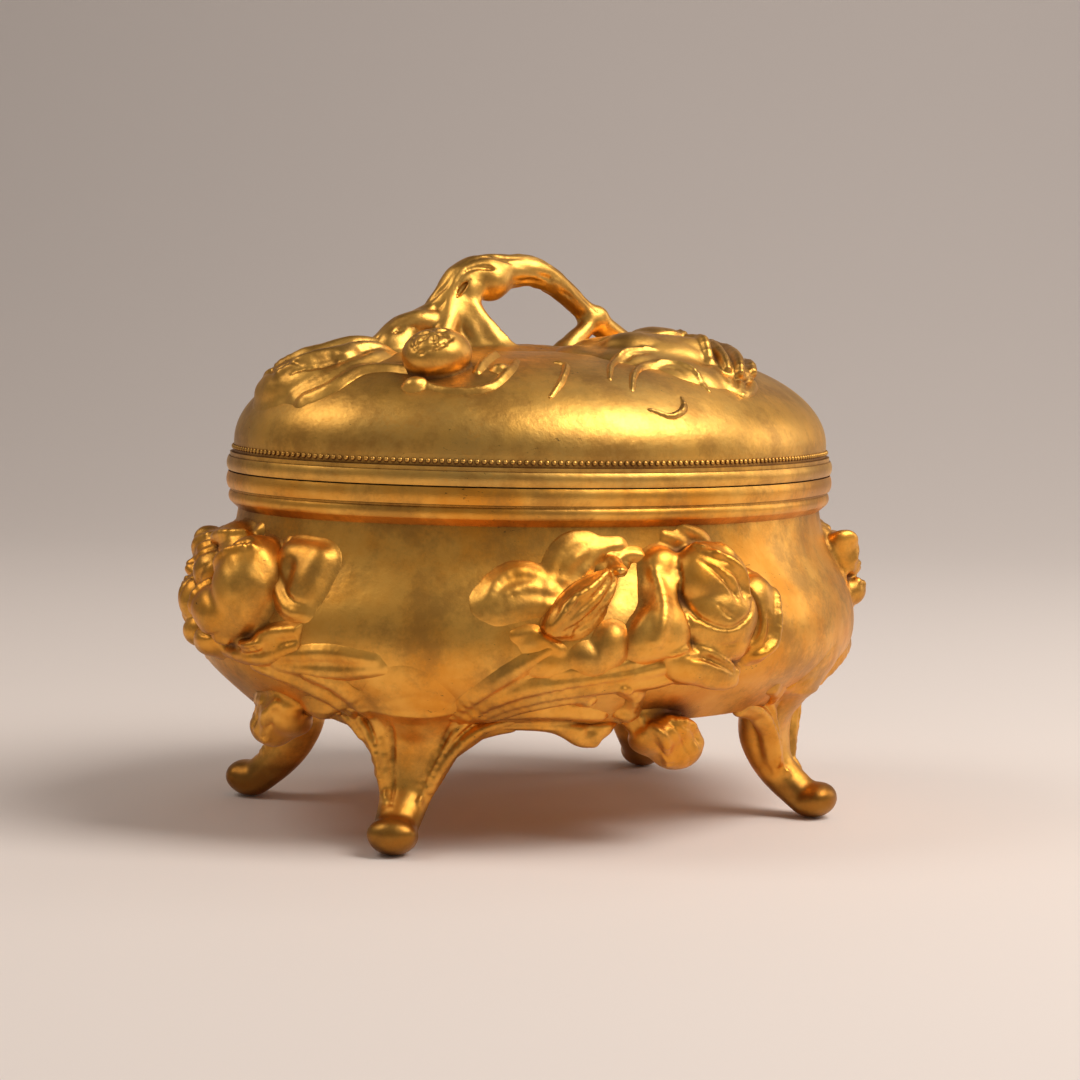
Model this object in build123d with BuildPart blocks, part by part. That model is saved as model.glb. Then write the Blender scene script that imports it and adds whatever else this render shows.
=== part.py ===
import os
from math import atan2, cos, degrees, radians, sin

from build123d import *

os.makedirs("parts", exist_ok=True)

# Oval jewel casket of cast gilt metal on four legs, with a domed lid hinged at the back.
# Millimetres. +X is the long axis, -Y the front, +Z up, and Z = 0 the floor under the toes.

# Rim oval: two end arcs and two side arcs that run smoothly into each other
RIM_HALF_LENGTH = 70.0
RIM_HALF_WIDTH = 52.5
END_RADIUS = 40.0

# Heights above the floor
SKIRT_FOOT = 25.8
CROWN_HEIGHT = 42.3
RIM_TOP = 74.2
SEAM_GAP = 0.3
DOME_RISE = 20.3

# Walls and clearances
BOWL_WALL = 1.8
RIM_WALL = 3.0
LID_WALL = 1.8
FIT_GAP = 0.3

# Belly of the bowl: how far each height stands out from the rim oval
CROWN_SWELL = 6.0
NECK_DRAW = 2.6
FOOT_DRAW = 5.5

# Bands under the rim
UPPER_BAND = 3.4
LOWER_BAND = 2.4
BAND_GROOVE = 0.5
BAND_CROWN = 0.4
LOWER_BAND_DRAW = 0.9

# Floor and linings
FLOOR_LIP = 3.0
LIP_HEIGHT = 1.0
FLOOR_SEAT = 1.0
FLOOR_PLATE = 1.0
FLOOR_CARD = 1.0
LINING_WALL = 1.2
LINING_SETBACK = 4.9
LINING_TOP_DROP = 1.8
TRIM_RADIUS = 0.9
PAD_EDGE = 1.6
PAD_SHOULDER = 3.0
PAD_SHOULDER_IN = 12.0
PAD_CROWN = 3.4
PAD_DRAW = 0.6
CARD_INSET = 0.6
LID_LINING_LIFT = 1.0
LID_LINING_WALL = 1.1

# Lid rim: flange, ridge and the beaded step under the dome
FLANGE_HEIGHT = 2.9
RIDGE_HEIGHT = 0.9
RIDGE_STEP = 0.3
BEAD_STEP = 2.4
DOME_SETBACK = 1.5

# Legs
LEG_ANGLE = 54.0
TOE_RADIUS = 4.5
TOE_HALF_WIDTH = 5.4
TOE_OUT = 1.0
TOE_FLAT = 0.5

# Relief ornament
LEAF_RELIEF = 1.3
LID_RELIEF = 2.6
FORM_DEPTH = 20.0
ORNAMENT_DEPTH = 34.0
PETAL_WALL = 1.1

# Hinge
HINGE_OUT = 2.4
HINGE_BARREL = 1.6
PIN_RADIUS = 0.7
PIN_CLEARANCE = 0.05
FIXED_CLEARANCE = 0.02
KNUCKLE_LENGTH = 7.0
KNUCKLE_GAP = 0.3
HINGE_LEAF = 1.0
HINGE_LEAF_CLEAR = 1.25
HINGE_LEAF_REACH = 4.6
HINGE_LEAF_BITE = 0.1
HINGE_WEB = 3.7
PIN_HEAD = 0.5
PIN_HEAD_RADIUS = 1.05

END_CENTRE = RIM_HALF_LENGTH - END_RADIUS
SIDE_RADIUS = (END_CENTRE**2 + RIM_HALF_WIDTH**2 - END_RADIUS**2) / (2 * (RIM_HALF_WIDTH - END_RADIUS))
SIDE_CENTRE = SIDE_RADIUS - RIM_HALF_WIDTH
END_HALF_ANGLE = 90 - degrees(atan2(END_CENTRE, SIDE_CENTRE))
SIDE_ANGLE = 180 - 2 * END_HALF_ANGLE

SEAM = RIM_TOP + SEAM_GAP
DOME_FOOT = SEAM + FLANGE_HEIGHT + RIDGE_HEIGHT + BEAD_STEP
DOME_TOP = DOME_FOOT + DOME_RISE
LIP_TOP = SKIRT_FOOT + LIP_HEIGHT
PLATE_TOP = LIP_TOP + FLOOR_PLATE
CARD_TOP = PLATE_TOP + FLOOR_CARD
LINING_TOP = RIM_TOP - LINING_TOP_DROP
LINING_INNER = -LINING_SETBACK - LINING_WALL
BAND_FOOT = RIM_TOP - UPPER_BAND - LOWER_BAND - BAND_GROOVE
LEDGE = -FOOT_DRAW - BOWL_WALL + FLOOR_SEAT

# Each arc of the rim: centre x, centre y, radius, first angle, turn
RIM_ARCS = [
    (END_CENTRE, 0, END_RADIUS, -END_HALF_ANGLE, 2 * END_HALF_ANGLE),
    (0, -SIDE_CENTRE, SIDE_RADIUS, END_HALF_ANGLE, SIDE_ANGLE),
    (-END_CENTRE, 0, END_RADIUS, 180 - END_HALF_ANGLE, 2 * END_HALF_ANGLE),
    (0, SIDE_CENTRE, SIDE_RADIUS, 180 + END_HALF_ANGLE, SIDE_ANGLE),
]

# Belly curve from the skirt's foot up to the neck: swell from the rim oval, height
BELLY = [
    (-FOOT_DRAW, SKIRT_FOOT),
    (0.6, SKIRT_FOOT + 5.4),
    (CROWN_SWELL - 1.1, CROWN_HEIGHT - 5.8),
    (CROWN_SWELL, CROWN_HEIGHT),
    (CROWN_SWELL - 1.6, CROWN_HEIGHT + 7.2),
    (0.2, RIM_TOP - 17.2),
    (-NECK_DRAW, BAND_FOOT - 1.5),
]
BELLY_FOOT_TANGENT = (1.0, 0.85)
BELLY_NECK_TANGENT = (-0.15, 1.0)

# Leg stations: distance inside the rim oval, height, lean, half depth, half width
LEG_STATIONS = [
    (6.0, SKIRT_FOOT + 7.2, 0, 8.0, 15.0),
    (9.6, SKIRT_FOOT + 1.7, 0, 6.6, 15.5),
    (11.2, SKIRT_FOOT - 4.3, 0, 5.6, 9.6),
    (11.2, 16.0, 12, 5.1, 6.8),
    (8.6, 10.6, 42, 4.5, 5.4),
    (4.4, 6.7, 56, 4.2, 5.1),
    (0.7, 4.6, 74, 3.7, 4.8),
]

# Knee panel on the belly above each leg, as (across, height above the skirt's foot)
KNEE = [(-8.0, 0.7), (-7.4, 10.2), (-5.5, 14.4), (0.0, 15.6), (5.5, 14.4), (7.4, 10.2), (8.0, 0.7)]

# Open petals of each rose: reach, rise, middle angle, spread
FRONT_PETALS = [
    (18.5, 5.0, 185, 76),
    (17.0, 4.4, 262, 84),
    (16.5, 4.0, -8, 84),
    (12.0, 5.2, 75, 100),
    (12.0, 6.4, 215, 90),
    (11.0, 6.6, 320, 90),
]
END_PETALS = [
    (15.0, 4.6, 175, 84),
    (14.0, 4.4, 250, 84),
    (13.5, 4.4, 318, 76),
    (14.5, 4.6, 20, 78),
    (12.5, 4.4, 98, 92),
    (11.5, 6.4, 215, 80),
    (11.0, 6.6, 50, 80),
]
LID_PETALS = [
    (17.0, 3.0, 205, 78),
    (17.5, 2.8, 275, 78),
    (16.5, 3.4, -12, 84),
    (13.0, 3.6, 60, 78),
    (13.0, 3.4, 132, 84),
    (11.0, 5.4, 250, 90),
    (10.5, 5.4, 20, 90),
]
ROSE_ROOT = 1.6
WRAP_MIDDLES = (60.0, 240.0)
WRAP_SPREAD = 150.0

# Petal shapes, as shares: where a petal starts under the heart, how it wraps, and how it opens
ROOT_SHARE = 0.6
WRAP_BELLY_SHARE = 0.5
WRAP_LIP_IN = 0.9
WRAP_LIP_UP = 0.82
OPEN_BELLY_OUT = 0.7
OPEN_BELLY_UP = 0.2

# Front spray: places as (x, height) on the front, sizes, and leaf outlines
FRONT_ROSE = (9.0, 52.0)
FRONT_ROSE_STAND = 2.5
FRONT_ROSE_FACING = (0.06, -1.0, 0.12)
FRONT_HEART_WIDTH = 6.2
FRONT_HEART_HEIGHT = 7.4
BUD_PLACE = (-20.0, 53.0)
BUD_STAND = 1.1
BUD_TILT = 33.0
BUD_HALF_LENGTH = 10.0
BUD_HALF_WIDTH = 4.6
FRONT_LEAVES = [
    [(-23.0, 51.5), (-28.0, 57.0), (-35.0, 57.6), (-41.0, 52.0), (-37.0, 48.6), (-29.0, 49.0)],
    [(-22.0, 52.0), (-26.0, 57.0), (-24.5, 62.0), (-18.0, 64.2), (-10.0, 62.0), (-14.0, 56.0)],
]
LOWER_PETAL = [(-21.0, 47.5), (-24.0, 43.0), (-19.5, 39.5), (-14.5, 42.0), (-14.5, 47.0), (-17.5, 49.5)]
FRONT_STEM = [(-36.0, 33.5), (-28.0, 37.0), (-18.0, 38.2), (-8.0, 37.4), (-6.0, 35.0), (-17.0, 35.6), (-28.0, 33.6)]
PENDANT_PLACE = (7.0, 22.0)
PENDANT_SETBACK = 4.9
PENDANT_TILT = 24.0
PENDANT_HALF_LENGTH = 8.4
PENDANT_HALF_WIDTH = 5.6
SCROLL_SETBACK = 11.3
SCROLL_DEPTH = 4.6
FRONT_SCROLL = [
    (-29.0, 27.2),
    (-22.0, 27.6),
    (-14.0, 27.4),
    (-8.5, 25.6),
    (-10.0, 22.2),
    (-15.0, 20.9),
    (-21.5, 23.2),
    (-26.5, 25.6),
]

# End spray: places as (distance forward of the middle, height)
END_ROSE_STAND = 4.0
END_ROSE_HEIGHT = 50.0
END_ROSE_FACING = (-1.0, 0.0, 0.1)
END_HEART_WIDTH = 7.0
END_HEART_HEIGHT = 7.6
END_PETAL = [(14.0, 50.0), (15.0, 60.0), (24.0, 62.0), (32.0, 58.0), (33.0, 49.0), (24.0, 45.0)]
END_PENDANT_SETBACK = 5.0
END_PENDANT = (-7.0, 26.6)
END_PENDANT_HALF_LENGTH = 8.6
END_PENDANT_HALF_WIDTH = 4.8

# Lid ornament. Handle twigs: stations of (x, height over the dome's top, radius), and shift in y
HANDLE_TWIGS = [
    (
        [
            (-43.0, -4.5, 3.0),
            (-34.0, 2.0, 3.2),
            (-27.0, 6.4, 3.1),
            (-22.0, 11.0, 3.5),
            (-15.0, 15.4, 4.6),
            (-6.8, 17.3, 3.6),
            (0.0, 16.6, 3.1),
            (6.8, 13.4, 2.5),
            (13.4, 8.2, 2.1),
            (19.5, 3.8, 2.4),
            (27.0, -0.5, 3.0),
        ],
        0.0,
    ),
    ([(-20.5, 11.5, 2.3), (-17.6, 5.0, 2.3), (-14.5, -2.5, 3.2)], -0.6),
    ([(14.2, 7.6, 1.6), (11.6, 4.0, 1.6), (8.0, -2.5, 2.6)], 0.4),
]
LID_ROSE_PLACE = (24.0, -21.0, DOME_TOP - 2.4)
LID_ROSE_FACING = (0.0, -0.22, 1.0)
LID_HEART_WIDTH = 6.4
LID_HEART_HEIGHT = 6.6
LID_ROSE_SKIRT = [
    [(33.0, -5.0), (41.0, -5.0), (45.5, -13.0), (43.0, -25.0), (36.5, -34.5), (29.0, -39.0), (25.0, -31.0)],
    [(-5.0, -28.5), (0.5, -20.0), (8.0, -10.0), (15.0, -3.5), (21.0, -12.0), (10.0, -22.5)],
    [(-3.0, -42.0), (1.5, -35.0), (8.0, -30.0), (15.5, -29.5), (18.5, -41.5), (12.5, -35.0), (5.0, -36.5)],
]
ROSEHIP_PLACE = (-37.0, -22.0, DOME_TOP - 0.8)
ROSEHIP_TILT = 12.0
ROSEHIP_HALF_LENGTH = 7.2
ROSEHIP_HALF_HEIGHT = 5.4
SEPAL_RADIUS = 2.2
SEPAL_TOP_RADIUS = 2.86
SEPAL_HEIGHT = 1.2
LID_LEAVES = [
    [(-38.0, 1.0), (-46.0, 7.5), (-57.0, 8.5), (-65.5, 3.0), (-58.0, -4.5), (-46.0, -6.0)],
    [(-40.0, -6.0), (-50.0, -6.5), (-59.0, -12.5), (-56.0, -19.0), (-48.0, -17.0)],
]


def around_rim(section):
    """Revolves a section, drawn as (swell, height), round the four arcs of the rim oval."""
    with BuildPart() as ring:
        for centre_x, centre_y, radius, first, turn in RIM_ARCS:
            out = (cos(radians(first)), sin(radians(first)))
            start = (centre_x + radius * out[0], centre_y + radius * out[1])
            with BuildSketch(upright(first, start)):
                add(section)
            revolve(axis=Axis((centre_x, centre_y, 0), (0, 0, 1)), revolution_arc=turn)
    return ring.part


def oval_face(swell):
    """The rim oval, grown by the swell."""
    with BuildSketch() as oval:
        with BuildLine():
            for centre_x, centre_y, radius, first, turn in RIM_ARCS:
                CenterArc((centre_x, centre_y), radius + swell, first, turn)
        make_face()
    return oval.sketch


def lens_face():
    """The middle of the oval, which lies inside the centres of the end arcs."""
    crest = SIDE_RADIUS - END_RADIUS - SIDE_CENTRE
    with BuildSketch() as lens:
        with BuildLine():
            ThreePointArc((END_CENTRE, 0), (0, crest), (-END_CENTRE, 0))
            ThreePointArc((-END_CENTRE, 0), (0, -crest), (END_CENTRE, 0))
        make_face()
    return lens.sketch


def plate(swell, low, high):
    """A flat oval plate between two heights."""
    with BuildPart() as flat:
        with BuildSketch(Plane.XY.offset(low)):
            add(oval_face(swell))
        extrude(amount=high - low)
    return flat.part


def belly_line(inward=0.0, foot=None):
    """Draws the belly curve, moved in by a wall, from its foot up to the neck."""
    moved = [(swell - inward, height) for swell, height in BELLY]
    if foot:
        moved[0] = foot
    Spline(*moved, tangents=(BELLY_FOOT_TANGENT, BELLY_NECK_TANGENT))


def bowl_section():
    neck = BELLY[-1]
    band_mid = RIM_TOP - UPPER_BAND
    lower_top = band_mid - BAND_GROOVE
    with BuildSketch() as section:
        with BuildLine():
            belly_line()
            Line(neck, (-LOWER_BAND_DRAW, BAND_FOOT))
            ThreePointArc(
                (-LOWER_BAND_DRAW, BAND_FOOT),
                (-LOWER_BAND_DRAW + BAND_CROWN, BAND_FOOT + LOWER_BAND / 2),
                (-LOWER_BAND_DRAW, lower_top),
            )
            Polyline((-LOWER_BAND_DRAW, lower_top), (-LOWER_BAND_DRAW, band_mid), (-BAND_CROWN, band_mid))
            ThreePointArc((-BAND_CROWN, band_mid), (0, RIM_TOP - UPPER_BAND / 2), (-BAND_CROWN, RIM_TOP))
            Polyline(
                (-BAND_CROWN, RIM_TOP),
                (-RIM_WALL, RIM_TOP),
                (-RIM_WALL, BAND_FOOT),
                (neck[0] - BOWL_WALL, neck[1]),
            )
            belly_line(inward=BOWL_WALL, foot=(LEDGE, LIP_TOP))
            Polyline(
                (LEDGE, LIP_TOP),
                (LEDGE - FLOOR_LIP, LIP_TOP),
                (LEDGE - FLOOR_LIP, SKIRT_FOOT),
                (-FOOT_DRAW, SKIRT_FOOT),
            )
        make_face()
    return section.sketch


def belly_form(relief):
    """A solid ring behind the belly's outer face, raised by the relief, to fit ornament to."""
    depth = -FORM_DEPTH
    with BuildSketch() as section:
        with BuildLine():
            belly_line(inward=-relief)
            Polyline(
                (BELLY[-1][0] + relief, BELLY[-1][1]),
                (depth, BELLY[-1][1]),
                (depth, SKIRT_FOOT),
                (BELLY[0][0] + relief, SKIRT_FOOT),
            )
        make_face()
    return around_rim(section.sketch)


def dome_arc(inward=0.0):
    """Draws a quarter of an ellipse from the dome's foot to its level top."""
    EllipticalCenterArc(
        (-END_RADIUS, DOME_FOOT),
        END_RADIUS - DOME_SETBACK - inward,
        DOME_RISE - inward,
        start_angle=0,
        arc_size=90,
    )


def lid_section():
    ridge_foot = SEAM + FLANGE_HEIGHT
    ridge_top = ridge_foot + RIDGE_HEIGHT
    with BuildSketch() as section:
        with BuildLine():
            dome_arc()
            Line((-END_RADIUS, DOME_TOP), (-END_RADIUS, DOME_TOP - LID_WALL))
            dome_arc(LID_WALL)
            Polyline((-DOME_SETBACK - LID_WALL, DOME_FOOT), (-RIM_WALL, SEAM), (-BAND_CROWN, SEAM))
            ThreePointArc((-BAND_CROWN, SEAM), (0, SEAM + FLANGE_HEIGHT / 2), (-BAND_CROWN, ridge_foot))
            Polyline(
                (-BAND_CROWN, ridge_foot),
                (-BAND_CROWN - RIDGE_STEP, ridge_foot),
                (-BAND_CROWN - RIDGE_STEP, ridge_top),
                (-DOME_SETBACK, ridge_top),
                (-DOME_SETBACK, DOME_FOOT),
            )
        make_face()
    return section.sketch


def dome_form(relief):
    """A solid cap under the dome's outer face, raised by the relief, to fit ornament to."""
    with BuildSketch() as section:
        with BuildLine():
            dome_arc(-relief)
            Polyline(
                (-END_RADIUS, DOME_TOP + relief),
                (-END_RADIUS, DOME_FOOT),
                (-DOME_SETBACK + relief, DOME_FOOT),
            )
        make_face()
    with BuildPart() as cap:
        add(around_rim(section.sketch))
        with BuildSketch(Plane.XY.offset(DOME_FOOT)):
            add(lens_face())
        extrude(amount=DOME_RISE + relief)
    return cap.part


def filled_round(section, low, high):
    """A section that reaches the end centres, revolved round the rim, with its middle filled."""
    with BuildPart() as solid:
        add(around_rim(section))
        with BuildSketch(Plane.XY.offset(low)):
            add(lens_face())
        extrude(amount=high - low)
    return solid.part


def half_round(swell, low):
    """Section of a half-round trim whose flat back stands at the swell."""
    with BuildSketch() as section:
        with BuildLine():
            ThreePointArc((swell, low), (swell - TRIM_RADIUS, low + TRIM_RADIUS), (swell, low + 2 * TRIM_RADIUS))
            Line((swell, low + 2 * TRIM_RADIUS), (swell, low))
        make_face()
    return section.sketch


def upright(angle, centre=(0, 0)):
    """A standing plane whose own x runs outwards at the angle, and whose y is up."""
    out_x = cos(radians(angle))
    out_y = sin(radians(angle))
    return Plane((centre[0], centre[1], 0), x_dir=(out_x, out_y, 0), z_dir=(out_y, -out_x, 0))


def spheroid(length, width):
    """A ball drawn out along its own x, given by its two half sizes."""
    with BuildPart() as ball:
        Sphere(width)
        scale(by=(length / width, 1, 1))
    return ball.part


def petal(base, belly, lip, middle, spread):
    """A curved petal: its section, as (reach, height), turned through its spread."""
    with BuildPart() as blade:
        with BuildSketch(upright(middle - spread / 2)):
            with BuildLine():
                ThreePointArc(base, belly, lip)
                offset(amount=PETAL_WALL, side=Side.RIGHT)
            make_face()
        revolve(axis=Axis.Z, revolution_arc=spread)
    return blade.part


def rose(heart_width, heart_height, petals):
    """A rose seen along +Z: an egg-shaped heart, two petals wrapped round it, and open petals."""
    root = (heart_width * ROOT_SHARE, ROSE_ROOT)
    wrap = heart_width + PETAL_WALL
    wrap_belly = (wrap, heart_height * WRAP_BELLY_SHARE)
    wrap_lip = (wrap * WRAP_LIP_IN, heart_height * WRAP_LIP_UP)
    with BuildPart() as flower:
        with Locations(Location((0, 0, 0), (0, 90, 0))):
            add(spheroid(heart_height, heart_width))
        for middle in WRAP_MIDDLES:
            add(petal(root, wrap_belly, wrap_lip, middle, WRAP_SPREAD))
        for reach, rise, middle, spread in petals:
            open_belly = (reach * OPEN_BELLY_OUT, ROSE_ROOT + rise * OPEN_BELLY_UP)
            add(petal(root, open_belly, (reach, rise), middle, spread))
    return flower.part


def on_belly(plane, points):
    """A flat leaf of the relief's height that follows the belly inside the drawn outline."""
    with BuildPart() as leaf:
        with BuildSketch(plane):
            with BuildLine():
                Spline(*points, periodic=True)
            make_face()
        extrude(amount=ORNAMENT_DEPTH)
        add(raised_belly, mode=Mode.INTERSECT)
        add(belly, mode=Mode.SUBTRACT)
    return leaf.part


def on_dome(points):
    """A flat leaf that follows the dome inside an outline drawn from above."""
    with BuildPart() as leaf:
        with BuildSketch(Plane.XY.offset(DOME_FOOT)):
            with BuildLine():
                Spline(*points, periodic=True)
            make_face()
        extrude(amount=ORNAMENT_DEPTH)
        add(raised_dome, mode=Mode.INTERSECT)
        add(dome, mode=Mode.SUBTRACT)
    return leaf.part


def turned(part):
    """The same piece on the opposite side of the casket."""
    return part.rotate(Axis.Z, 180)


belly = belly_form(0)
raised_belly = belly_form(LEAF_RELIEF)
dome = dome_form(0)
raised_dome = dome_form(LID_RELIEF)
pieces = []

# Bowl: bands under the rim, a drawn-in neck, a swelling belly, and a lip inside its foot
with BuildPart() as bowl_shell:
    add(around_rim(bowl_section()))
bowl_shell.part.label = "bowl_shell"
pieces.append(bowl_shell)

# Floor of the bowl, let in on the lip, with its card and padded cushion
with BuildPart() as floor_plate:
    add(plate(LEDGE - FIT_GAP, LIP_TOP, PLATE_TOP))
floor_plate.part.label = "floor_plate"
pieces.append(floor_plate)

with BuildPart() as floor_card:
    add(plate(-LINING_SETBACK - CARD_INSET, PLATE_TOP, CARD_TOP))
floor_card.part.label = "floor_card"
pieces.append(floor_card)


def pad_section():
    edge = LINING_INNER - FIT_GAP
    with BuildSketch() as section:
        with BuildLine():
            ThreePointArc(
                (edge - PAD_DRAW, CARD_TOP),
                (edge, CARD_TOP + PAD_EDGE / 2),
                (edge - PAD_DRAW, CARD_TOP + PAD_EDGE),
            )
            Spline(
                (edge - PAD_DRAW, CARD_TOP + PAD_EDGE),
                (edge - PAD_SHOULDER_IN, CARD_TOP + PAD_SHOULDER),
                (-END_RADIUS, CARD_TOP + PAD_CROWN),
                tangents=((-1, 0.25), (-1, 0)),
            )
            Polyline(
                (-END_RADIUS, CARD_TOP + PAD_CROWN),
                (-END_RADIUS, CARD_TOP),
                (edge - PAD_DRAW, CARD_TOP),
            )
        make_face()
    return section.sketch


with BuildPart() as floor_pad:
    add(filled_round(pad_section(), CARD_TOP, CARD_TOP + PAD_CROWN))
floor_pad.part.label = "floor_pad"
pieces.append(floor_pad)

# Satin-covered wall band that stands on the card, and the cord trim along its top
with BuildSketch() as lining_section:
    with Locations((LINING_INNER + LINING_WALL / 2, (CARD_TOP + LINING_TOP) / 2)):
        Rectangle(LINING_WALL, LINING_TOP - CARD_TOP)
with BuildPart() as wall_lining:
    add(around_rim(lining_section.sketch))
wall_lining.part.label = "wall_lining"
pieces.append(wall_lining)

with BuildPart() as lining_trim:
    add(around_rim(half_round(LINING_INNER, LINING_TOP - 2 * TRIM_RADIUS)))
lining_trim.part.label = "lining_trim"
pieces.append(lining_trim)

# Legs: each flares out of the skirt, curves in and then out again, and ends in a rolled toe
with BuildPart() as leg:
    leg_plane = upright(LEG_ANGLE, (END_CENTRE, 0))
    for inside, height, lean, half_depth, half_width in LEG_STATIONS:
        along = leg_plane.x_dir * sin(radians(lean)) - Vector(0, 0, cos(radians(lean)))
        across = leg_plane.x_dir * cos(radians(lean)) + Vector(0, 0, sin(radians(lean)))
        centre = leg_plane.from_local_coords((END_RADIUS - inside, height, 0))
        with BuildSketch(Plane(centre, x_dir=across, z_dir=along)):
            Ellipse(half_depth, half_width)
    loft()
    toe_centre = leg_plane.from_local_coords((END_RADIUS + TOE_OUT, TOE_RADIUS - TOE_FLAT, 0))
    with Locations(Plane(toe_centre, x_dir=leg_plane.z_dir, z_dir=(0, 0, 1)).location):
        add(spheroid(TOE_HALF_WIDTH, TOE_RADIUS))
    with Locations((toe_centre.X, toe_centre.Y, 0)):
        Box(
            4 * TOE_HALF_WIDTH,
            4 * TOE_HALF_WIDTH,
            TOE_RADIUS,
            align=(Align.CENTER, Align.CENTER, Align.MAX),
            mode=Mode.SUBTRACT,
        )
    add(belly, mode=Mode.SUBTRACT)
    knee_start = leg_plane.from_local_coords((END_RADIUS - FORM_DEPTH, SKIRT_FOOT, 0))
    add(on_belly(Plane(knee_start, x_dir=-leg_plane.z_dir, z_dir=leg_plane.x_dir), KNEE))

for side, end_sign in (("left", -1), ("right", 1)):
    for face, face_sign in (("front", -1), ("rear", 1)):
        with BuildPart() as placed_leg:
            if end_sign == face_sign:
                add(leg.part if end_sign > 0 else turned(leg.part))
            else:
                flipped = leg.part.mirror(Plane.XZ if end_sign > 0 else Plane.YZ)
                add(flipped)
        placed_leg.part.label = f"leg_{face}_{side}"
        pieces.append(placed_leg)

# Front and rear sprays: a rose, leaves, a bud, a lower petal, a stem, a scroll and a hanging bud
front = Plane((0, FORM_DEPTH - RIM_HALF_WIDTH, 0), x_dir=(1, 0, 0), z_dir=(0, -1, 0))
rose_centre = (FRONT_ROSE[0], -RIM_HALF_WIDTH - FRONT_ROSE_STAND, FRONT_ROSE[1])
rose_side = (-FRONT_ROSE_FACING[1], FRONT_ROSE_FACING[0], 0)
with BuildPart() as rose_front:
    with Locations(Plane(rose_centre, x_dir=rose_side, z_dir=FRONT_ROSE_FACING).location):
        add(rose(FRONT_HEART_WIDTH, FRONT_HEART_HEIGHT, FRONT_PETALS))
    add(belly, mode=Mode.SUBTRACT)

bud_centre = (BUD_PLACE[0], -RIM_HALF_WIDTH - BUD_STAND, BUD_PLACE[1])
with BuildPart() as bud_front:
    with Locations(Location(bud_centre, (0, -BUD_TILT, 0))):
        add(spheroid(BUD_HALF_LENGTH, BUD_HALF_WIDTH))
    add(belly, mode=Mode.SUBTRACT)
    add(rose_front.part, mode=Mode.SUBTRACT)

with BuildPart() as leaves_front:
    for points in FRONT_LEAVES:
        add(on_belly(front, points))
    add(bud_front.part, mode=Mode.SUBTRACT)
    add(rose_front.part, mode=Mode.SUBTRACT)

with BuildPart() as lower_petal_front:
    add(on_belly(front, LOWER_PETAL))
    add(bud_front.part, mode=Mode.SUBTRACT)
    add(rose_front.part, mode=Mode.SUBTRACT)

with BuildPart() as stem_front:
    add(on_belly(front, FRONT_STEM))
    for neighbour in (lower_petal_front, rose_front):
        add(neighbour.part, mode=Mode.SUBTRACT)
    for neighbour in pieces:
        if neighbour.part.label == "leg_front_left":
            add(neighbour.part, mode=Mode.SUBTRACT)

pendant_centre = (PENDANT_PLACE[0], PENDANT_SETBACK - RIM_HALF_WIDTH, PENDANT_PLACE[1])
with BuildPart() as pendant_front:
    with Locations(Location(pendant_centre, (0, PENDANT_TILT, 0))):
        add(spheroid(PENDANT_HALF_LENGTH, PENDANT_HALF_WIDTH))
    add(belly, mode=Mode.SUBTRACT)

with BuildPart() as scroll_front:
    with BuildSketch(Plane((0, SCROLL_SETBACK - RIM_HALF_WIDTH, 0), x_dir=(1, 0, 0), z_dir=(0, -1, 0))):
        with BuildLine():
            Spline(*FRONT_SCROLL, periodic=True)
        make_face()
    extrude(amount=SCROLL_DEPTH)
    add(belly, mode=Mode.SUBTRACT)
    add(pendant_front.part, mode=Mode.SUBTRACT)

# End sprays: a larger rose, a curled petal towards the front, and a hanging flower
end = Plane((FORM_DEPTH - RIM_HALF_LENGTH, 0, 0), x_dir=(0, -1, 0), z_dir=(-1, 0, 0))
end_rose_centre = (-RIM_HALF_LENGTH - END_ROSE_STAND, 0, END_ROSE_HEIGHT)
with BuildPart() as rose_left:
    with Locations(Plane(end_rose_centre, x_dir=(0, -1, 0), z_dir=END_ROSE_FACING).location):
        add(rose(END_HEART_WIDTH, END_HEART_HEIGHT, END_PETALS))
    add(belly, mode=Mode.SUBTRACT)

with BuildPart() as petal_left:
    add(on_belly(end, END_PETAL))
    add(rose_left.part, mode=Mode.SUBTRACT)

end_pendant_centre = (END_PENDANT_SETBACK - RIM_HALF_LENGTH, END_PENDANT[0], END_PENDANT[1])
with BuildPart() as pendant_left:
    with Locations(Location(end_pendant_centre, (0, 0, 90))):
        add(spheroid(END_PENDANT_HALF_LENGTH, END_PENDANT_HALF_WIDTH))
    add(belly, mode=Mode.SUBTRACT)

sprays = {
    "rose_front": (rose_front, "rose_rear"),
    "bud_front": (bud_front, "bud_rear"),
    "leaves_front": (leaves_front, "leaves_rear"),
    "lower_petal_front": (lower_petal_front, "lower_petal_rear"),
    "stem_front": (stem_front, "stem_rear"),
    "pendant_front": (pendant_front, "pendant_rear"),
    "scroll_front": (scroll_front, "scroll_rear"),
    "rose_left": (rose_left, "rose_right"),
    "petal_left": (petal_left, "petal_right"),
    "pendant_left": (pendant_left, "pendant_right"),
}
for name, (ornament, opposite_name) in sprays.items():
    ornament.part.label = name
    pieces.append(ornament)
    with BuildPart() as opposite:
        add(turned(ornament.part))
    opposite.part.label = opposite_name
    pieces.append(opposite)

# Lid shell
with BuildPart() as lid_shell:
    add(filled_round(lid_section(), DOME_TOP - LID_WALL, DOME_TOP))
lid_shell.part.label = "lid_shell"
pieces.append(lid_shell)


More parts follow.
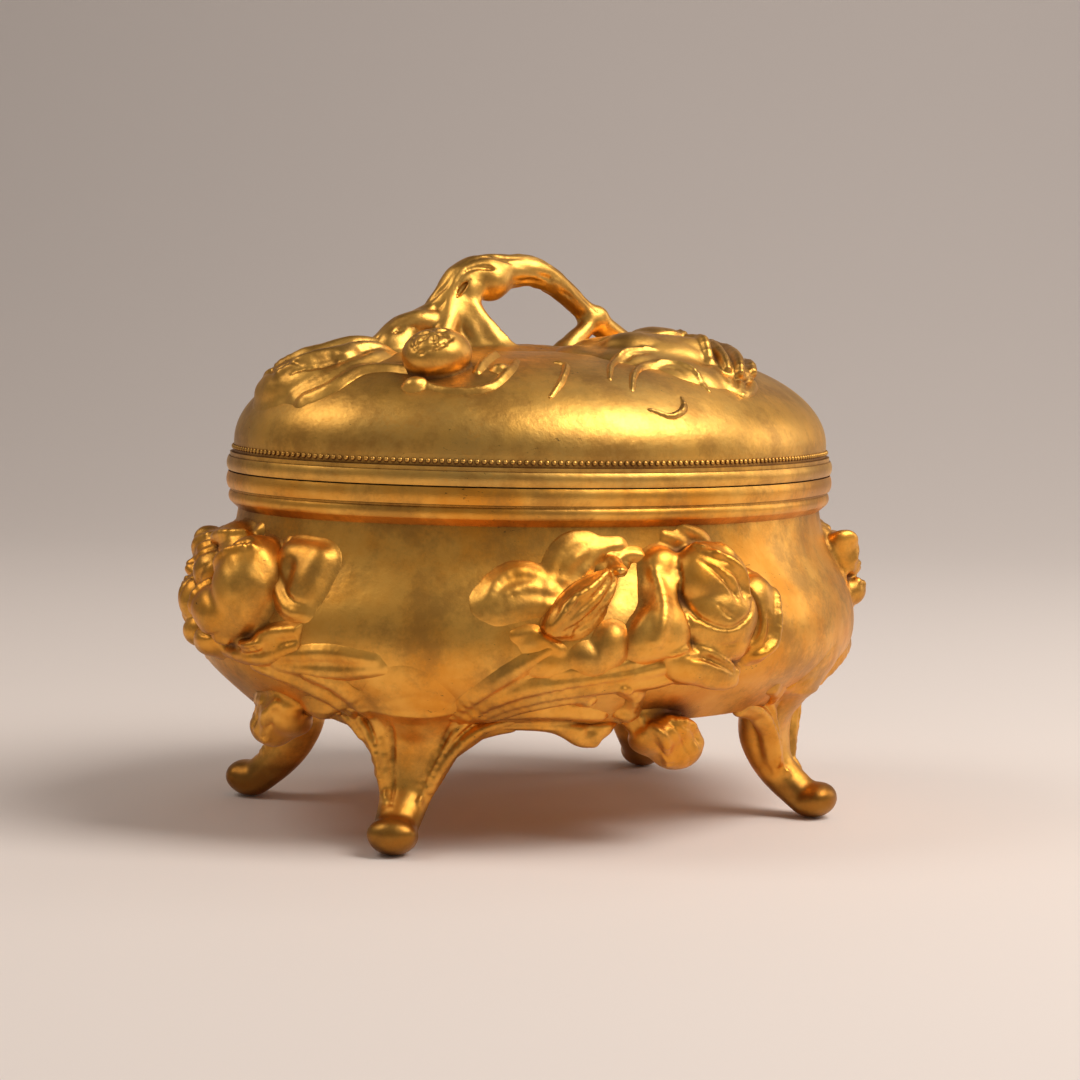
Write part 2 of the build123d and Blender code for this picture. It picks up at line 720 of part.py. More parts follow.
def lid_lining_section():
    outer = LID_WALL + FIT_GAP
    inner = outer + LID_LINING_WALL
    with BuildSketch() as section:
        with BuildLine():
            dome_arc(outer)
            Line((-END_RADIUS, DOME_TOP - outer), (-END_RADIUS, DOME_TOP - inner))
            dome_arc(inner)
            Polyline(
                (-DOME_SETBACK - inner, DOME_FOOT),
                (-DOME_SETBACK - inner, SEAM + LID_LINING_LIFT),
                (-DOME_SETBACK - outer, SEAM + LID_LINING_LIFT),
                (-DOME_SETBACK - outer, DOME_FOOT),
            )
        make_face()
    return section.sketch


lining_crown = DOME_TOP - LID_WALL - FIT_GAP
with BuildPart() as lid_lining:
    add(filled_round(lid_lining_section(), lining_crown - LID_LINING_WALL, lining_crown))
lid_lining.part.label = "lid_lining"
pieces.append(lid_lining)

with BuildPart() as lid_trim:
    trim_back = -DOME_SETBACK - LID_WALL - FIT_GAP - LID_LINING_WALL
    add(around_rim(half_round(trim_back, SEAM + LID_LINING_LIFT)))
lid_trim.part.label = "lid_trim"
pieces.append(lid_trim)


def branch(stations, shift=0.0):
    """A twig through round stations of (x, height over the dome, radius), in a plane along the lid."""
    with BuildPart() as twig:
        for index, (x, height, radius) in enumerate(stations):
            before = stations[max(index - 1, 0)]
            after = stations[min(index + 1, len(stations) - 1)]
            along = (after[0] - before[0], 0, after[1] - before[1])
            with BuildSketch(Plane((x, shift, DOME_TOP + height), z_dir=along)):
                Circle(radius)
        loft()
    return twig.part


# Handle: a twig that arches over the lid, swells at a knot and roots at both ends
with BuildPart() as handle_branch:
    for stations, shift in HANDLE_TWIGS:
        add(branch(stations, shift))
    add(dome, mode=Mode.SUBTRACT)
handle_branch.part.label = "handle_branch"
pieces.append(handle_branch)

# Rose of the lid, with a broad petal on its slope, a folded one by the handle and a curled one in front
with BuildPart() as rose_lid:
    with Locations(Plane(LID_ROSE_PLACE, x_dir=(1, 0, 0), z_dir=LID_ROSE_FACING).location):
        add(rose(LID_HEART_WIDTH, LID_HEART_HEIGHT, LID_PETALS))
    add(dome, mode=Mode.SUBTRACT)
    for points in LID_ROSE_SKIRT:
        add(on_dome(points))
    add(handle_branch.part, mode=Mode.SUBTRACT)
rose_lid.part.label = "rose_lid"
pieces.append(rose_lid)

with BuildPart() as rosehip:
    with Locations(Location(ROSEHIP_PLACE, (0, ROSEHIP_TILT, 0))):
        add(spheroid(ROSEHIP_HALF_LENGTH, ROSEHIP_HALF_HEIGHT))
    with Locations(Vector(ROSEHIP_PLACE) + Vector(0, 0, ROSEHIP_HALF_HEIGHT)):
        Cone(SEPAL_RADIUS, SEPAL_TOP_RADIUS, SEPAL_HEIGHT)
    add(dome, mode=Mode.SUBTRACT)
    add(handle_branch.part, mode=Mode.SUBTRACT)
rosehip.part.label = "rosehip"
pieces.append(rosehip)

with BuildPart() as leaves_lid:
    for points in LID_LEAVES:
        add(on_dome(points))
    add(handle_branch.part, mode=Mode.SUBTRACT)
    add(rosehip.part, mode=Mode.SUBTRACT)
leaves_lid.part.label = "leaves_lid"
pieces.append(leaves_lid)

# Hinge at the back: two knuckles on the body's leaf, one on the lid's, and a pin through them
hinge_y = RIM_HALF_WIDTH + HINGE_OUT
hinge_z = RIM_TOP + SEAM_GAP / 2
hinge_length = 3 * KNUCKLE_LENGTH + 2 * KNUCKLE_GAP
leaf_turn = degrees(hinge_length / SIDE_RADIUS)


def hinge_leaf(low, high):
    """A curved plate on the back of the rim, between two heights."""
    back = upright(90 - leaf_turn / 2, (0, -SIDE_CENTRE))
    with BuildPart() as leaf:
        with BuildSketch(back):
            with Locations((SIDE_RADIUS + HINGE_LEAF / 2, (low + high) / 2)):
                Rectangle(HINGE_LEAF, high - low)
        revolve(axis=Axis((0, -SIDE_CENTRE, 0), (0, 0, 1)), revolution_arc=leaf_turn)
    return leaf.part


def knuckle(centre_x, sign):
    """A barrel on the hinge line with its web down (-1) or up (1) to the leaf."""
    start = centre_x - KNUCKLE_LENGTH / 2
    inner = HINGE_LEAF_BITE - HINGE_OUT
    shoulder = HINGE_BARREL * cos(radians(45))
    with BuildPart() as barrel:
        with BuildSketch(Plane((start, hinge_y, hinge_z), x_dir=(0, 1, 0), z_dir=(1, 0, 0))):
            Circle(HINGE_BARREL)
            with BuildLine():
                Polyline(
                    (0, 0),
                    (-HINGE_BARREL + HINGE_LEAF_BITE, sign * SEAM_GAP),
                    (inner, sign * HINGE_LEAF_CLEAR),
                    (inner, sign * HINGE_WEB),
                    (shoulder, sign * shoulder),
                    close=True,
                )
            make_face()
        extrude(amount=KNUCKLE_LENGTH)
    return barrel.part


def hinge_bore(radius):
    with BuildPart() as bore:
        with BuildSketch(Plane((-hinge_length, hinge_y, hinge_z), x_dir=(0, 1, 0), z_dir=(1, 0, 0))):
            Circle(radius)
        extrude(amount=2 * hinge_length)
    return bore.part


with BuildPart() as hinge_leaf_body:
    add(hinge_leaf(hinge_z - HINGE_LEAF_REACH, hinge_z - HINGE_LEAF_CLEAR))
    for side in (-1, 1):
        add(knuckle(side * (KNUCKLE_LENGTH + KNUCKLE_GAP), -1))
    add(hinge_bore(PIN_RADIUS + FIXED_CLEARANCE), mode=Mode.SUBTRACT)
    add(bowl_shell.part, mode=Mode.SUBTRACT)
hinge_leaf_body.part.label = "hinge_leaf_body"
pieces.append(hinge_leaf_body)

with BuildPart() as hinge_leaf_lid:
    add(hinge_leaf(hinge_z + HINGE_LEAF_CLEAR, hinge_z + HINGE_LEAF_REACH - BAND_CROWN))
    add(knuckle(0, 1))
    add(hinge_bore(PIN_RADIUS + PIN_CLEARANCE), mode=Mode.SUBTRACT)
    add(lid_shell.part, mode=Mode.SUBTRACT)
hinge_leaf_lid.part.label = "hinge_leaf_lid"
pieces.append(hinge_leaf_lid)

with BuildPart() as hinge_pin:
    with BuildSketch(Plane((-hinge_length / 2, hinge_y, hinge_z), x_dir=(0, 1, 0), z_dir=(1, 0, 0))):
        Circle(PIN_RADIUS)
    extrude(amount=hinge_length)
    for face, outward in ((-hinge_length / 2, -1), (hinge_length / 2, 1)):
        with BuildSketch(Plane((face, hinge_y, hinge_z), x_dir=(0, 1, 0), z_dir=(outward, 0, 0))):
            Circle(PIN_HEAD_RADIUS)
        extrude(amount=PIN_HEAD)
hinge_pin.part.label = "hinge_pin"
pieces.append(hinge_pin)

for piece in pieces:
    export_step(piece.part, f"parts/{piece.part.label}.step")
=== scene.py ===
import math

import bmesh
import bpy
import numpy as np
from mathutils import Matrix, Vector


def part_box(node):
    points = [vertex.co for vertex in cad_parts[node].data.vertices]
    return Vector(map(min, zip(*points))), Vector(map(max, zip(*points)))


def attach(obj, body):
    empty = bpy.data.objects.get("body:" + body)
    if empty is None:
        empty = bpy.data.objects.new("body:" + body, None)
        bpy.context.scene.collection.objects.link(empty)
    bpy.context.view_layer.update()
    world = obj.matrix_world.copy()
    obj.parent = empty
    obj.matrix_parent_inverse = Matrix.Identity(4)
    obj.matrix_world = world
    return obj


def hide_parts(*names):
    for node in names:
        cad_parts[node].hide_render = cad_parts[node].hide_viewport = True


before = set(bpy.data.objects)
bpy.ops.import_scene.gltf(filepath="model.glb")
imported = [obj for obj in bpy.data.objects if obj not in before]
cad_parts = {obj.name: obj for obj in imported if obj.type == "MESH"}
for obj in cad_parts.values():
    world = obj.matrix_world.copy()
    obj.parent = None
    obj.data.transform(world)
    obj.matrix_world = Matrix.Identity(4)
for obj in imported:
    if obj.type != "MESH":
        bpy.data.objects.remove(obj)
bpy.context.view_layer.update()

# Gilt rose casket. Forms are modelled in millimetres like clay on the bowl and the lid, then turned
# into smooth meshes in metres that stand for the plainer nodes of the frame.

MM = 0.001

# Clay: voxel size, spacing of the beads in a line, beads worked at once, how far past a form its
# distance is worked out, the distance of empty clay, and how deep a form sits in the metal
VOXEL = 0.36
BEAD_SPACING = 0.55
BEAD_BATCH = 1500000
REACH = 1.7
FAR = 6.0
BURY = 0.8

# The foot of a fillet dives into the metal over this share of the blend, so that it has no thin edge
DIVE_START = 0.42
DIVE_LENGTH = 0.4
DIVE_DEPTH = 0.4
FILLET_REACH = 0.85
RUMPLE_SIZE = 2.6

# How far around a point its recess and its edge are felt, and how much a dab leans to the viewer
RECESS_REACH = 2.6
EDGE_REACH = 0.9
VIEW_LEAN = 0.4

# Rim oval and dome of the lid, from the frame and the two arcs' radii
lid_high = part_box("lid_shell")[1] / MM
bowl_low, bowl_high = (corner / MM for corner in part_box("bowl_shell"))
RIM_HALF_LENGTH = lid_high.x
RIM_HALF_WIDTH = lid_high.y
END_RADIUS = 40.0
END_CENTRE = RIM_HALF_LENGTH - END_RADIUS
SIDE_RADIUS = (END_CENTRE**2 + RIM_HALF_WIDTH**2 - END_RADIUS**2) / (2 * (RIM_HALF_WIDTH - END_RADIUS))
SIDE_CENTRE = SIDE_RADIUS - RIM_HALF_WIDTH
SKIRT_FOOT = bowl_low.z
RIM_TOP = bowl_high.z
DOME_TOP = lid_high.z
DOME_RISE = 20.3
DOME_SETBACK = 1.5
DOME_FOOT = DOME_TOP - DOME_RISE
NECK_DEPTH = 7.8
NECK_HEIGHT = RIM_TOP - NECK_DEPTH

# Swells, from the rim's oval, of the apron under the belly and of the web behind it
APRON_SWELL = -6.6
WEB_SWELL = -6.8

# Bearing of the legs, and the arch beside a leg: places to the side of it and the edge's height there
LEG_ANGLE = math.radians(54.0)
ARCH_SIDES = (-14.0, -11.2, -5.6, -1.6, -0.2, 9.8, 13.6, 19.4, 23.0, 26.0)
ARCH_HEIGHTS = (25.8, 25.6, 24.2, 18.6, 12.9, 11.9, 18.6, 22.9, 23.9, 24.4)

# The eight corners of a voxel
CORNERS = np.stack(np.meshgrid([0, 1], [0, 1], [0, 1], indexing="ij"), -1).reshape(-1, 3)


def rim_swell(points):
    """How far points lie outside the rim oval, seen from above."""
    x = np.abs(points[..., 0])
    y = np.abs(points[..., 1])
    end = np.hypot(x - END_CENTRE, y) - END_RADIUS
    side = np.hypot(x, y + SIDE_CENTRE) - SIDE_RADIUS
    return np.where((x - END_CENTRE) * SIDE_CENTRE > y * END_CENTRE, end, side)


def belly_profile():
    """Heights of the bowl's outer face and its swell at each, read off the frame's mesh."""
    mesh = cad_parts["bowl_shell"].data
    points = np.array([vertex.co for vertex in mesh.vertices]) / MM
    normals = np.array([vertex.normal for vertex in mesh.vertices])
    outward = (normals[:, :2] * points[:, :2]).sum(1) > 0
    wanted = outward & (points[:, 2] < NECK_HEIGHT + 0.1)
    heights = np.round(points[wanted, 2], 1)
    swells = rim_swell(points[wanted])
    rows = np.unique(heights)
    return rows, np.array([swells[heights == row].max() for row in rows])


BELLY_HEIGHTS, BELLY_SWELLS = belly_profile()
BELLY_SLOPES = np.gradient(BELLY_SWELLS, BELLY_HEIGHTS)


def belly(points):
    """Distance outside the bowl's belly, and under its foot."""
    z = points[..., 2]
    slope = np.interp(z, BELLY_HEIGHTS, BELLY_SLOPES)
    out = (rim_swell(points) - np.interp(z, BELLY_HEIGHTS, BELLY_SWELLS)) / np.sqrt(1 + slope**2)
    return np.maximum(out, SKIRT_FOOT - z)


def dome(points):
    """Distance outside the lid's dome, a quarter ellipse swept round the oval."""
    out = np.maximum(rim_swell(points) + END_RADIUS, 0)
    up = points[..., 2] - DOME_FOOT
    half = END_RADIUS - DOME_SETBACK
    ratio = np.hypot(out / half, up / DOME_RISE)
    return ratio * (ratio - 1) / np.maximum(np.hypot(out / half**2, up / DOME_RISE**2), 1e-6)


def plan_swell(points):
    """The swell outside the rim's oval, whatever the height."""
    return rim_swell(points) + 0 * points[..., 2]


def front(across, height):
    """A point in front of the casket, near its belly."""
    reach = (SIDE_RADIUS + 2) ** 2 - across**2
    return np.array([across, SIDE_CENTRE - math.sqrt(reach), height])


def on_apron(across, height):
    """A point of the apron, under the belly's front."""
    return settle(plan_swell, [front(across, height)], APRON_SWELL)[0]


def normal(surface, points):
    """Outward directions of a surface's distance at points."""
    nudge = 0.05
    steps = np.eye(3) * nudge
    slope = np.stack([surface(points + step) - surface(points - step) for step in steps], -1)
    return slope / np.linalg.norm(slope, axis=-1, keepdims=True)


def settle(surface, points, lift):
    """Moves points along the surface's normal until they stand at the lift above it."""
    points = np.array(points, float)
    for _ in range(4):
        points = points + (lift - surface(points))[..., None] * normal(surface, points)
    return points


# Ways of looking at the casket: across, up and out from the front, the left end and the top
FRONT = np.array([[1.0, 0, 0], [0, 0, 1], [0, -1, 0]])
LEFT_END = np.array([[0.0, -1, 0], [0, 0, 1], [-1, 0, 0]])
TOP = np.array([[1.0, 0, 0], [0, 1, 0], [0, 0, 1]])
LEG_VIEW = np.array([
    [math.sin(LEG_ANGLE), -math.cos(LEG_ANGLE), 0],
    [0, 0, 1],
    [-math.cos(LEG_ANGLE), -math.sin(LEG_ANGLE), 0],
])


def curve(stations, spacing=BEAD_SPACING, places=2):
    """A smooth line through stations whose first numbers are their places, with even steps between."""
    rows = np.array(stations, float)
    rows = np.vstack([2 * rows[0] - rows[1], rows, 2 * rows[-1] - rows[-2]])
    pieces = []
    for before, start, stop, after in zip(rows, rows[1:], rows[2:], rows[3:]):
        count = max(int(np.linalg.norm((stop - start)[:places]) / spacing), 1)
        share = (np.arange(count) / count)[:, None]
        square = (2 * before - 5 * start + 4 * stop - after) * share**2
        cube = (3 * start - before - 3 * stop + after) * share**3
        pieces.append(0.5 * (2 * start + (stop - before) * share + (square + cube)))
    return np.vstack(pieces + [rows[-2:-1]])


def merge(first, second, blend):
    """Smooth union of two distances, rounded over the blend."""
    close = np.maximum(blend - np.abs(first - second), 0) / blend
    return np.minimum(first, second) - close**2 * blend / 4


def ripple(points, size):
    """A soft uneven pattern between -1 and 1, with lumps of about the size."""
    x, y, z = (points[..., axis] / size for axis in range(3))
    first = np.sin(2.1 * x + 1.3 * np.sin(1.7 * y + 0.4)) * np.cos(1.9 * z + 0.8 * np.sin(2.3 * x))
    second = np.sin(2.7 * y - 1.1 * z + 1.9) * np.cos(1.6 * x + 2.2 * z)
    return 0.6 * first + 0.4 * second


def blurred(values, half):
    """Values averaged over a cube that reaches half a width each way."""
    for axis in range(3):
        margins = [(half + 1, half) if other == axis else (0, 0) for other in range(3)]
        padded = np.pad(values, margins, "edge")
        total = np.cumsum(padded, axis)
        count = values.shape[axis]
        after = np.take(total, range(2 * half + 1, 2 * half + 1 + count), axis)
        before = np.take(total, range(count), axis)
        values = (after - before) / (2 * half + 1)
    return values


class Clay:
    """A block of voxels on a surface. Each voxel holds its distance outside the forms pressed in."""

    def __init__(self, low, high, surface, view):
        self.low = np.array(low, float)
        self.size = np.ceil((np.array(high, float) - self.low) / VOXEL).astype(int) + 1
        self.field = np.full(self.size, FAR)
        self.surface = surface
        self.view = view
        self.grid = self.window(self.low, self.low + self.size * VOXEL)[1]
        self.base = surface(self.grid)

    def window(self, low, high):
        """The slices of the voxels between two corners, and the points at them."""
        first = np.clip(((low - self.low) / VOXEL).astype(int), 0, self.size - 1)
        last = np.clip(np.ceil((high - self.low) / VOXEL).astype(int) + 1, first + 1, self.size)
        axes = [self.low[axis] + VOXEL * np.arange(first[axis], last[axis]) for axis in range(3)]
        slices = tuple(slice(start, stop) for start, stop in zip(first, last))
        return slices, np.stack(np.meshgrid(*axes, indexing="ij"), -1)

    def drop(self, places, bare=False):
        """Lowers places (across, up) along the view onto the clay, or onto the bare surface."""
        places = np.atleast_2d(np.asarray(places, float))
        field = self.base if bare else np.minimum(self.field, self.base)
        across, up, out = self.view
        extent = self.size * VOXEL
        depths = np.arange(np.abs(out) @ extent / 2, -np.abs(out) @ extent / 2, -VOXEL / 2)
        start = places[:, :1] * across + places[:, 1:2] * up + out * ((self.low + extent / 2) @ out)
        index = np.rint((start[:, None] + depths[:, None] * out - self.low) / VOXEL).astype(int)
        index = np.clip(index, 0, self.size - 1)
        values = field[tuple(np.moveaxis(index, -1, 0))]
        hit = np.where((values < 0).any(1), np.argmax(values < 0, axis=1), np.argmin(values, axis=1))
        depth = depths[hit] - values[np.arange(len(hit)), hit]
        return start + depth[:, None] * out

    def strung(self, points, radii):
        """The window round beads set close together, and the distance from them."""
        points = np.reshape(points, (-1, 3))
        radii = np.broadcast_to(radii, len(points)) if np.ndim(radii) == 0 else np.reshape(radii, -1)
        reach = radii.max() + REACH
        slices, grid = self.window(points.min(0) - reach, points.max(0) + reach)
        corner = grid[0, 0, 0]
        shape = np.array(grid.shape[:3])
        half = int(reach / VOXEL) + 1
        ball = np.stack(np.meshgrid(*[np.arange(-half, half + 1)] * 3, indexing="ij"), -1).reshape(-1, 3)
        ball = ball[np.linalg.norm(ball, axis=1) * VOXEL <= reach + VOXEL]
        distance = np.full(shape.prod(), FAR)
        share = max(BEAD_BATCH // len(ball), 1)
        for start in range(0, len(points), share):
            some = points[start:start + share]
            spots = np.rint((some - corner) / VOXEL).astype(int)[:, None] + ball
            inside = ((spots >= 0) & (spots < shape)).all(-1)
            gaps = np.linalg.norm(spots * VOXEL + corner - some[:, None], axis=-1)
            gaps = gaps - radii[start:start + share, None]
            flat = (spots[..., 0] * shape[1] + spots[..., 1]) * shape[2] + spots[..., 2]
            np.minimum.at(distance, flat[inside], gaps[inside])
        return slices, distance.reshape(shape)

    def press(self, points, radii, blend):
        """Adds beads along a line or over a sheet."""
        slices, distance = self.strung(points, radii)
        self.field[slices] = merge(self.field[slices], distance, blend)

    def carve(self, points, radii, blend=0.4):
        """Cuts beads along a line out of the clay."""
        slices, distance = self.strung(points, radii)
        self.field[slices] = -merge(-self.field[slices], distance, blend)

    def rod(self, stations, blend):
        """Adds a round rod through stations (x, y, z, radius)."""
        path = curve(stations, places=3)
        self.press(path[:, :3], path[:, 3], blend)

    def stroke(self, stations, lift=0.3, blend=0.6):
        """Lays a ridge through stations (across, up, radius) over what is there."""
        path = curve(stations)
        points = self.drop(path[:, :2]) + self.view[2] * (path[:, 2] * lift)[:, None]
        self.press(points, np.maximum(path[:, 2], 0.1), blend)

    def slit(self, stations, lift=0.0, blend=0.4):
        """Cuts a groove through stations (across, up, radius) into what is there."""
        path = curve(stations)
        points = self.drop(path[:, :2]) + self.view[2] * (path[:, 2] * lift)[:, None]
        self.carve(points, np.maximum(path[:, 2], 0.1), blend)

    def stand(self, place, lift, turn):
        """The point at a lift above the bare surface, with directions across, up and out there."""
        foot = self.drop([place], bare=True)
        out = normal(self.surface, foot)[0]
        centre = foot[0] + out * lift
        out = out + VIEW_LEAN * self.view[2]
        out /= np.linalg.norm(out)
        across = np.cross(self.view[1], out)
        across /= np.linalg.norm(across)
        up = np.cross(out, across)
        angle = math.radians(turn)
        turned = math.cos(angle) * across + math.sin(angle) * up
        return centre, np.array([turned, np.cross(out, turned), out])

    def egg(self, centre, axes, radii, blend):
        """Adds an ellipsoid whose own axes are the rows of a matrix."""
        radii = np.asarray(radii, float)
        reach = radii.max() + REACH
        slices, grid = self.window(np.asarray(centre) - reach, np.asarray(centre) + reach)
        local = (grid - centre) @ np.asarray(axes, float).T
        ratio = np.linalg.norm(local / radii, axis=-1)
        distance = ratio * (ratio - 1) / np.maximum(np.linalg.norm(local / radii**2, axis=-1), 1e-6)
        self.field[slices] = merge(self.field[slices], distance, blend)

    def dab(self, place, lift, radii, turn=0.0, blend=0.8):
        """Adds an egg over a place (across, up)."""
        centre, axes = self.stand(place, lift, turn)
        self.egg(centre, axes, radii, blend)

    def seat(self, blend, rumple):
        """Runs the forms into the surface under them with a fillet, and cuts off what lies deep in it."""
        field = self.field + rumple * ripple(self.grid, RUMPLE_SIZE)
        dive = DIVE_DEPTH * (np.clip(field / blend - DIVE_START, 0, DIVE_LENGTH) / DIVE_LENGTH) ** 2
        joined = merge(field, self.base + dive, blend)
        self.field = np.maximum(np.maximum(joined, -(self.base + BURY)), field - FILLET_REACH * blend)
        return self

    def within(self, centre, inner, outer):
        """A share for each voxel: 1 near a place, falling to 0 between two distances from it."""
        gap = np.linalg.norm(self.grid - np.asarray(centre, float), axis=-1)
        return np.clip((outer - gap) / (outer - inner), 0, 1)

    def sampled(self, values, points):
        """Values between the voxels at points."""
        spots = np.clip((points - self.low) / VOXEL, 0, self.size - 1.001)
        first = spots.astype(int)
        share = spots - first
        total = np.zeros(len(points))
        for corner in CORNERS:
            weight = np.prod(np.where(corner, share, 1 - share), axis=1)
            total += weight * values[tuple((first + corner).T)]
        return total

    def worked(self):
        """The clay's skin: points, four-sided faces, and how deep and how exposed each point lies."""
        field = self.field
        for axis in range(3):
            edge = [slice(None)] * 3
            edge[axis] = [0, -1]
            field[tuple(edge)] = FAR
        inside = field < 0
        cells = np.array(field.shape) - 1

        def at(values, corner):
            return values[tuple(slice(start, start + count) for start, count in zip(corner, cells))]

        filled = sum(at(inside, corner).astype(int) for corner in CORNERS)
        active = (filled > 0) & (filled < 8)
        numbers = np.full(cells, -1)
        numbers[active] = np.arange(active.sum())
        total = np.zeros((active.sum(), 3))
        crossings = np.zeros(active.sum())
        for corner in CORNERS:
            for axis in np.flatnonzero(corner == 0):
                here = at(field, corner)[active]
                there = at(field, corner + np.eye(3, dtype=int)[axis])[active]
                crossed = (here < 0) != (there < 0)
                spot = np.tile(corner.astype(float), (crossed.sum(), 1))
                spot[:, axis] = here[crossed] / (here[crossed] - there[crossed])
                total[crossed] += spot
                crossings[crossed] += 1
        points = self.low + (np.argwhere(active) + total / crossings[:, None]) * VOXEL
        faces = np.vstack([quads for axis in range(3) for quads in wound(inside, numbers, axis)])
        points = smoothed(points, faces[(faces >= 0).all(1)])
        solid = np.clip(0.5 - np.minimum(field, self.base) / VOXEL, 0, 1)
        deep = self.sampled(blurred(solid, round(RECESS_REACH / VOXEL)), points)
        bare = self.sampled(blurred(solid, max(round(EDGE_REACH / VOXEL), 1)), points)
        return points, faces[(faces >= 0).all(1)], 2 * deep - 1, 1 - 2 * bare


def wound(inside, numbers, axis):
    """Faces across the voxel edges along an axis, wound so that they look outwards."""
    one, two = (axis + 1) % 3, (axis + 2) % 3
    before = np.take(inside, range(inside.shape[axis] - 1), axis)
    after = np.take(inside, range(1, inside.shape[axis]), axis)
    for leaving in (True, False):
        cell = np.argwhere((before != after) & (before == leaving))
        cell = cell[(cell[:, one] > 0) & (cell[:, two] > 0)]
        limit = np.array(numbers.shape)
        cell = cell[(cell < limit).all(1)]
        ring = []
        for back_one, back_two in ((1, 1), (0, 1), (0, 0), (1, 0)):
            corner = cell.copy()
            corner[:, one] -= back_one
            corner[:, two] -= back_two
            ring.append(numbers[tuple(corner.T)])
        quads = np.stack(ring, 1)
        yield quads if leaving else quads[:, ::-1]


def smoothed(points, faces, rounds=2):
    """Points drawn towards the mean of their neighbours."""
    starts = np.concatenate([faces[:, side] for side in range(4)])
    stops = np.concatenate([faces[:, (side + 1) % 4] for side in range(4)])
    counts = np.maximum(np.bincount(starts, minlength=len(points)), 1)[:, None]
    for _ in range(rounds):
        sums = np.stack([np.bincount(starts, points[stops, axis], len(points)) for axis in range(3)], 1)
        points = points + 0.5 * (sums / counts - points)
    return points


class Mask:
    """A number that varies over a surface, worked out by plain arithmetic on shader sockets."""

    def __init__(self, finish, socket):
        self.finish = finish
        self.socket = socket

    def maths(self, operation, *values):
        return self.finish.node("ShaderNodeMath", {"operation": operation}, dict(enumerate(values)))

    def __add__(self, other):
        return self.maths("ADD", self, other)

    def __radd__(self, other):
        return self.maths("ADD", other, self)

    def __sub__(self, other):
        return self.maths("SUBTRACT", self, other)

    def __rsub__(self, other):
        return self.maths("SUBTRACT", other, self)

    def __mul__(self, other):
        return self.maths("MULTIPLY", self, other)

    def __rmul__(self, other):
        return self.maths("MULTIPLY", other, self)

    def between(self, low, high):
        """Rises smoothly from 0 at the low value to 1 at the high one."""
        settings = {"interpolation_type": "SMOOTHSTEP"}
        sockets = {"Value": self, "From Min": low, "From Max": high, "To Min": 0.0, "To Max": 1.0}
        return self.finish.node("ShaderNodeMapRange", settings, sockets)


class Finish:
    """A material under construction."""

    def __init__(self, name, **constants):
        self.material = bpy.data.materials.new(name)
        self.material.use_nodes = True
        self.tree = self.material.node_tree
        self.shader = self.tree.nodes["Principled BSDF"]
        for socket, value in constants.items():
            self.shader.inputs[socket.replace("_", " ").title()].default_value = value
        self.place = self.node("ShaderNodeTexCoord", {}, {}, "Object")

    def put(self, socket, value):
        """Sets a socket to a number or a colour, or links it to a mask or another socket."""
        if isinstance(value, Mask):
            value = value.socket
        if isinstance(value, bpy.types.NodeSocket):
            self.tree.links.new(value, socket)
        elif isinstance(value, (int, float)):
            socket.default_value = value
        else:
            socket.default_value = tuple(value) + (1.0,) * (len(socket.default_value) - len(value))

    def node(self, kind, settings, sockets, output=0):
        """Adds a node, with its settings first and then its sockets, and gives one of its outputs."""
        added = self.tree.nodes.new(kind)
        for setting, value in settings.items():
            setattr(added, setting, value)
        for name, value in sockets.items():
            self.put(added.inputs[name], value)
        return Mask(self, added.outputs[output])

    def noise(self, size, detail=3.0, rough=0.55, stretch=(1, 1, 1)):
        """A cloudy pattern whose lumps have about a size in millimetres."""
        sockets = {0: self.place, 1: stretch}
        place = self.node("ShaderNodeVectorMath", {"operation": "MULTIPLY"}, sockets)
        sockets = {"Vector": place, "Scale": 1 / (size * MM), "Detail": detail, "Roughness": rough}
        return self.node("ShaderNodeTexNoise", {}, sockets)

    def mixed(self, share, first, second):
        """A second colour laid over a first by a share; sockets 6 and 7 and output 2 are the colours."""
        return self.node("ShaderNodeMix", {"data_type": "RGBA"}, {"Factor": share, 6: first, 7: second}, 2)

    def dented(self, height, depth, strength=1.0, under=None):
        """A bump of a depth in millimetres."""
        sockets = {"Height": height, "Distance": depth * MM, "Strength": strength}
        if under is not None:
            sockets["Normal"] = under
        return self.node("ShaderNodeBump", {}, sockets)

    def done(self, **links):
        """Feeds the shader's sockets and gives the material."""
        for socket, value in links.items():
            self.put(self.shader.inputs[socket.replace("_", " ").title()], value)
        return self.material


# Colours of the gilding, of what shows through it and lies on it, and of the painted shade in its recesses
GOLD_BRIGHT = (0.93, 0.49, 0.095)
GOLD_ORANGE = (0.76, 0.31, 0.035)
GOLD_GREY = (0.62, 0.36, 0.09)
TARNISH = (0.44, 0.21, 0.045)
PATINA_AND_SHADE_BROWN = (0.115, 0.045, 0.012)
PATINA_AND_SHADE_RED = (0.22, 0.045, 0.008)
BARE_METAL = (0.17, 0.15, 0.13)
NICK = (0.035, 0.022, 0.014)


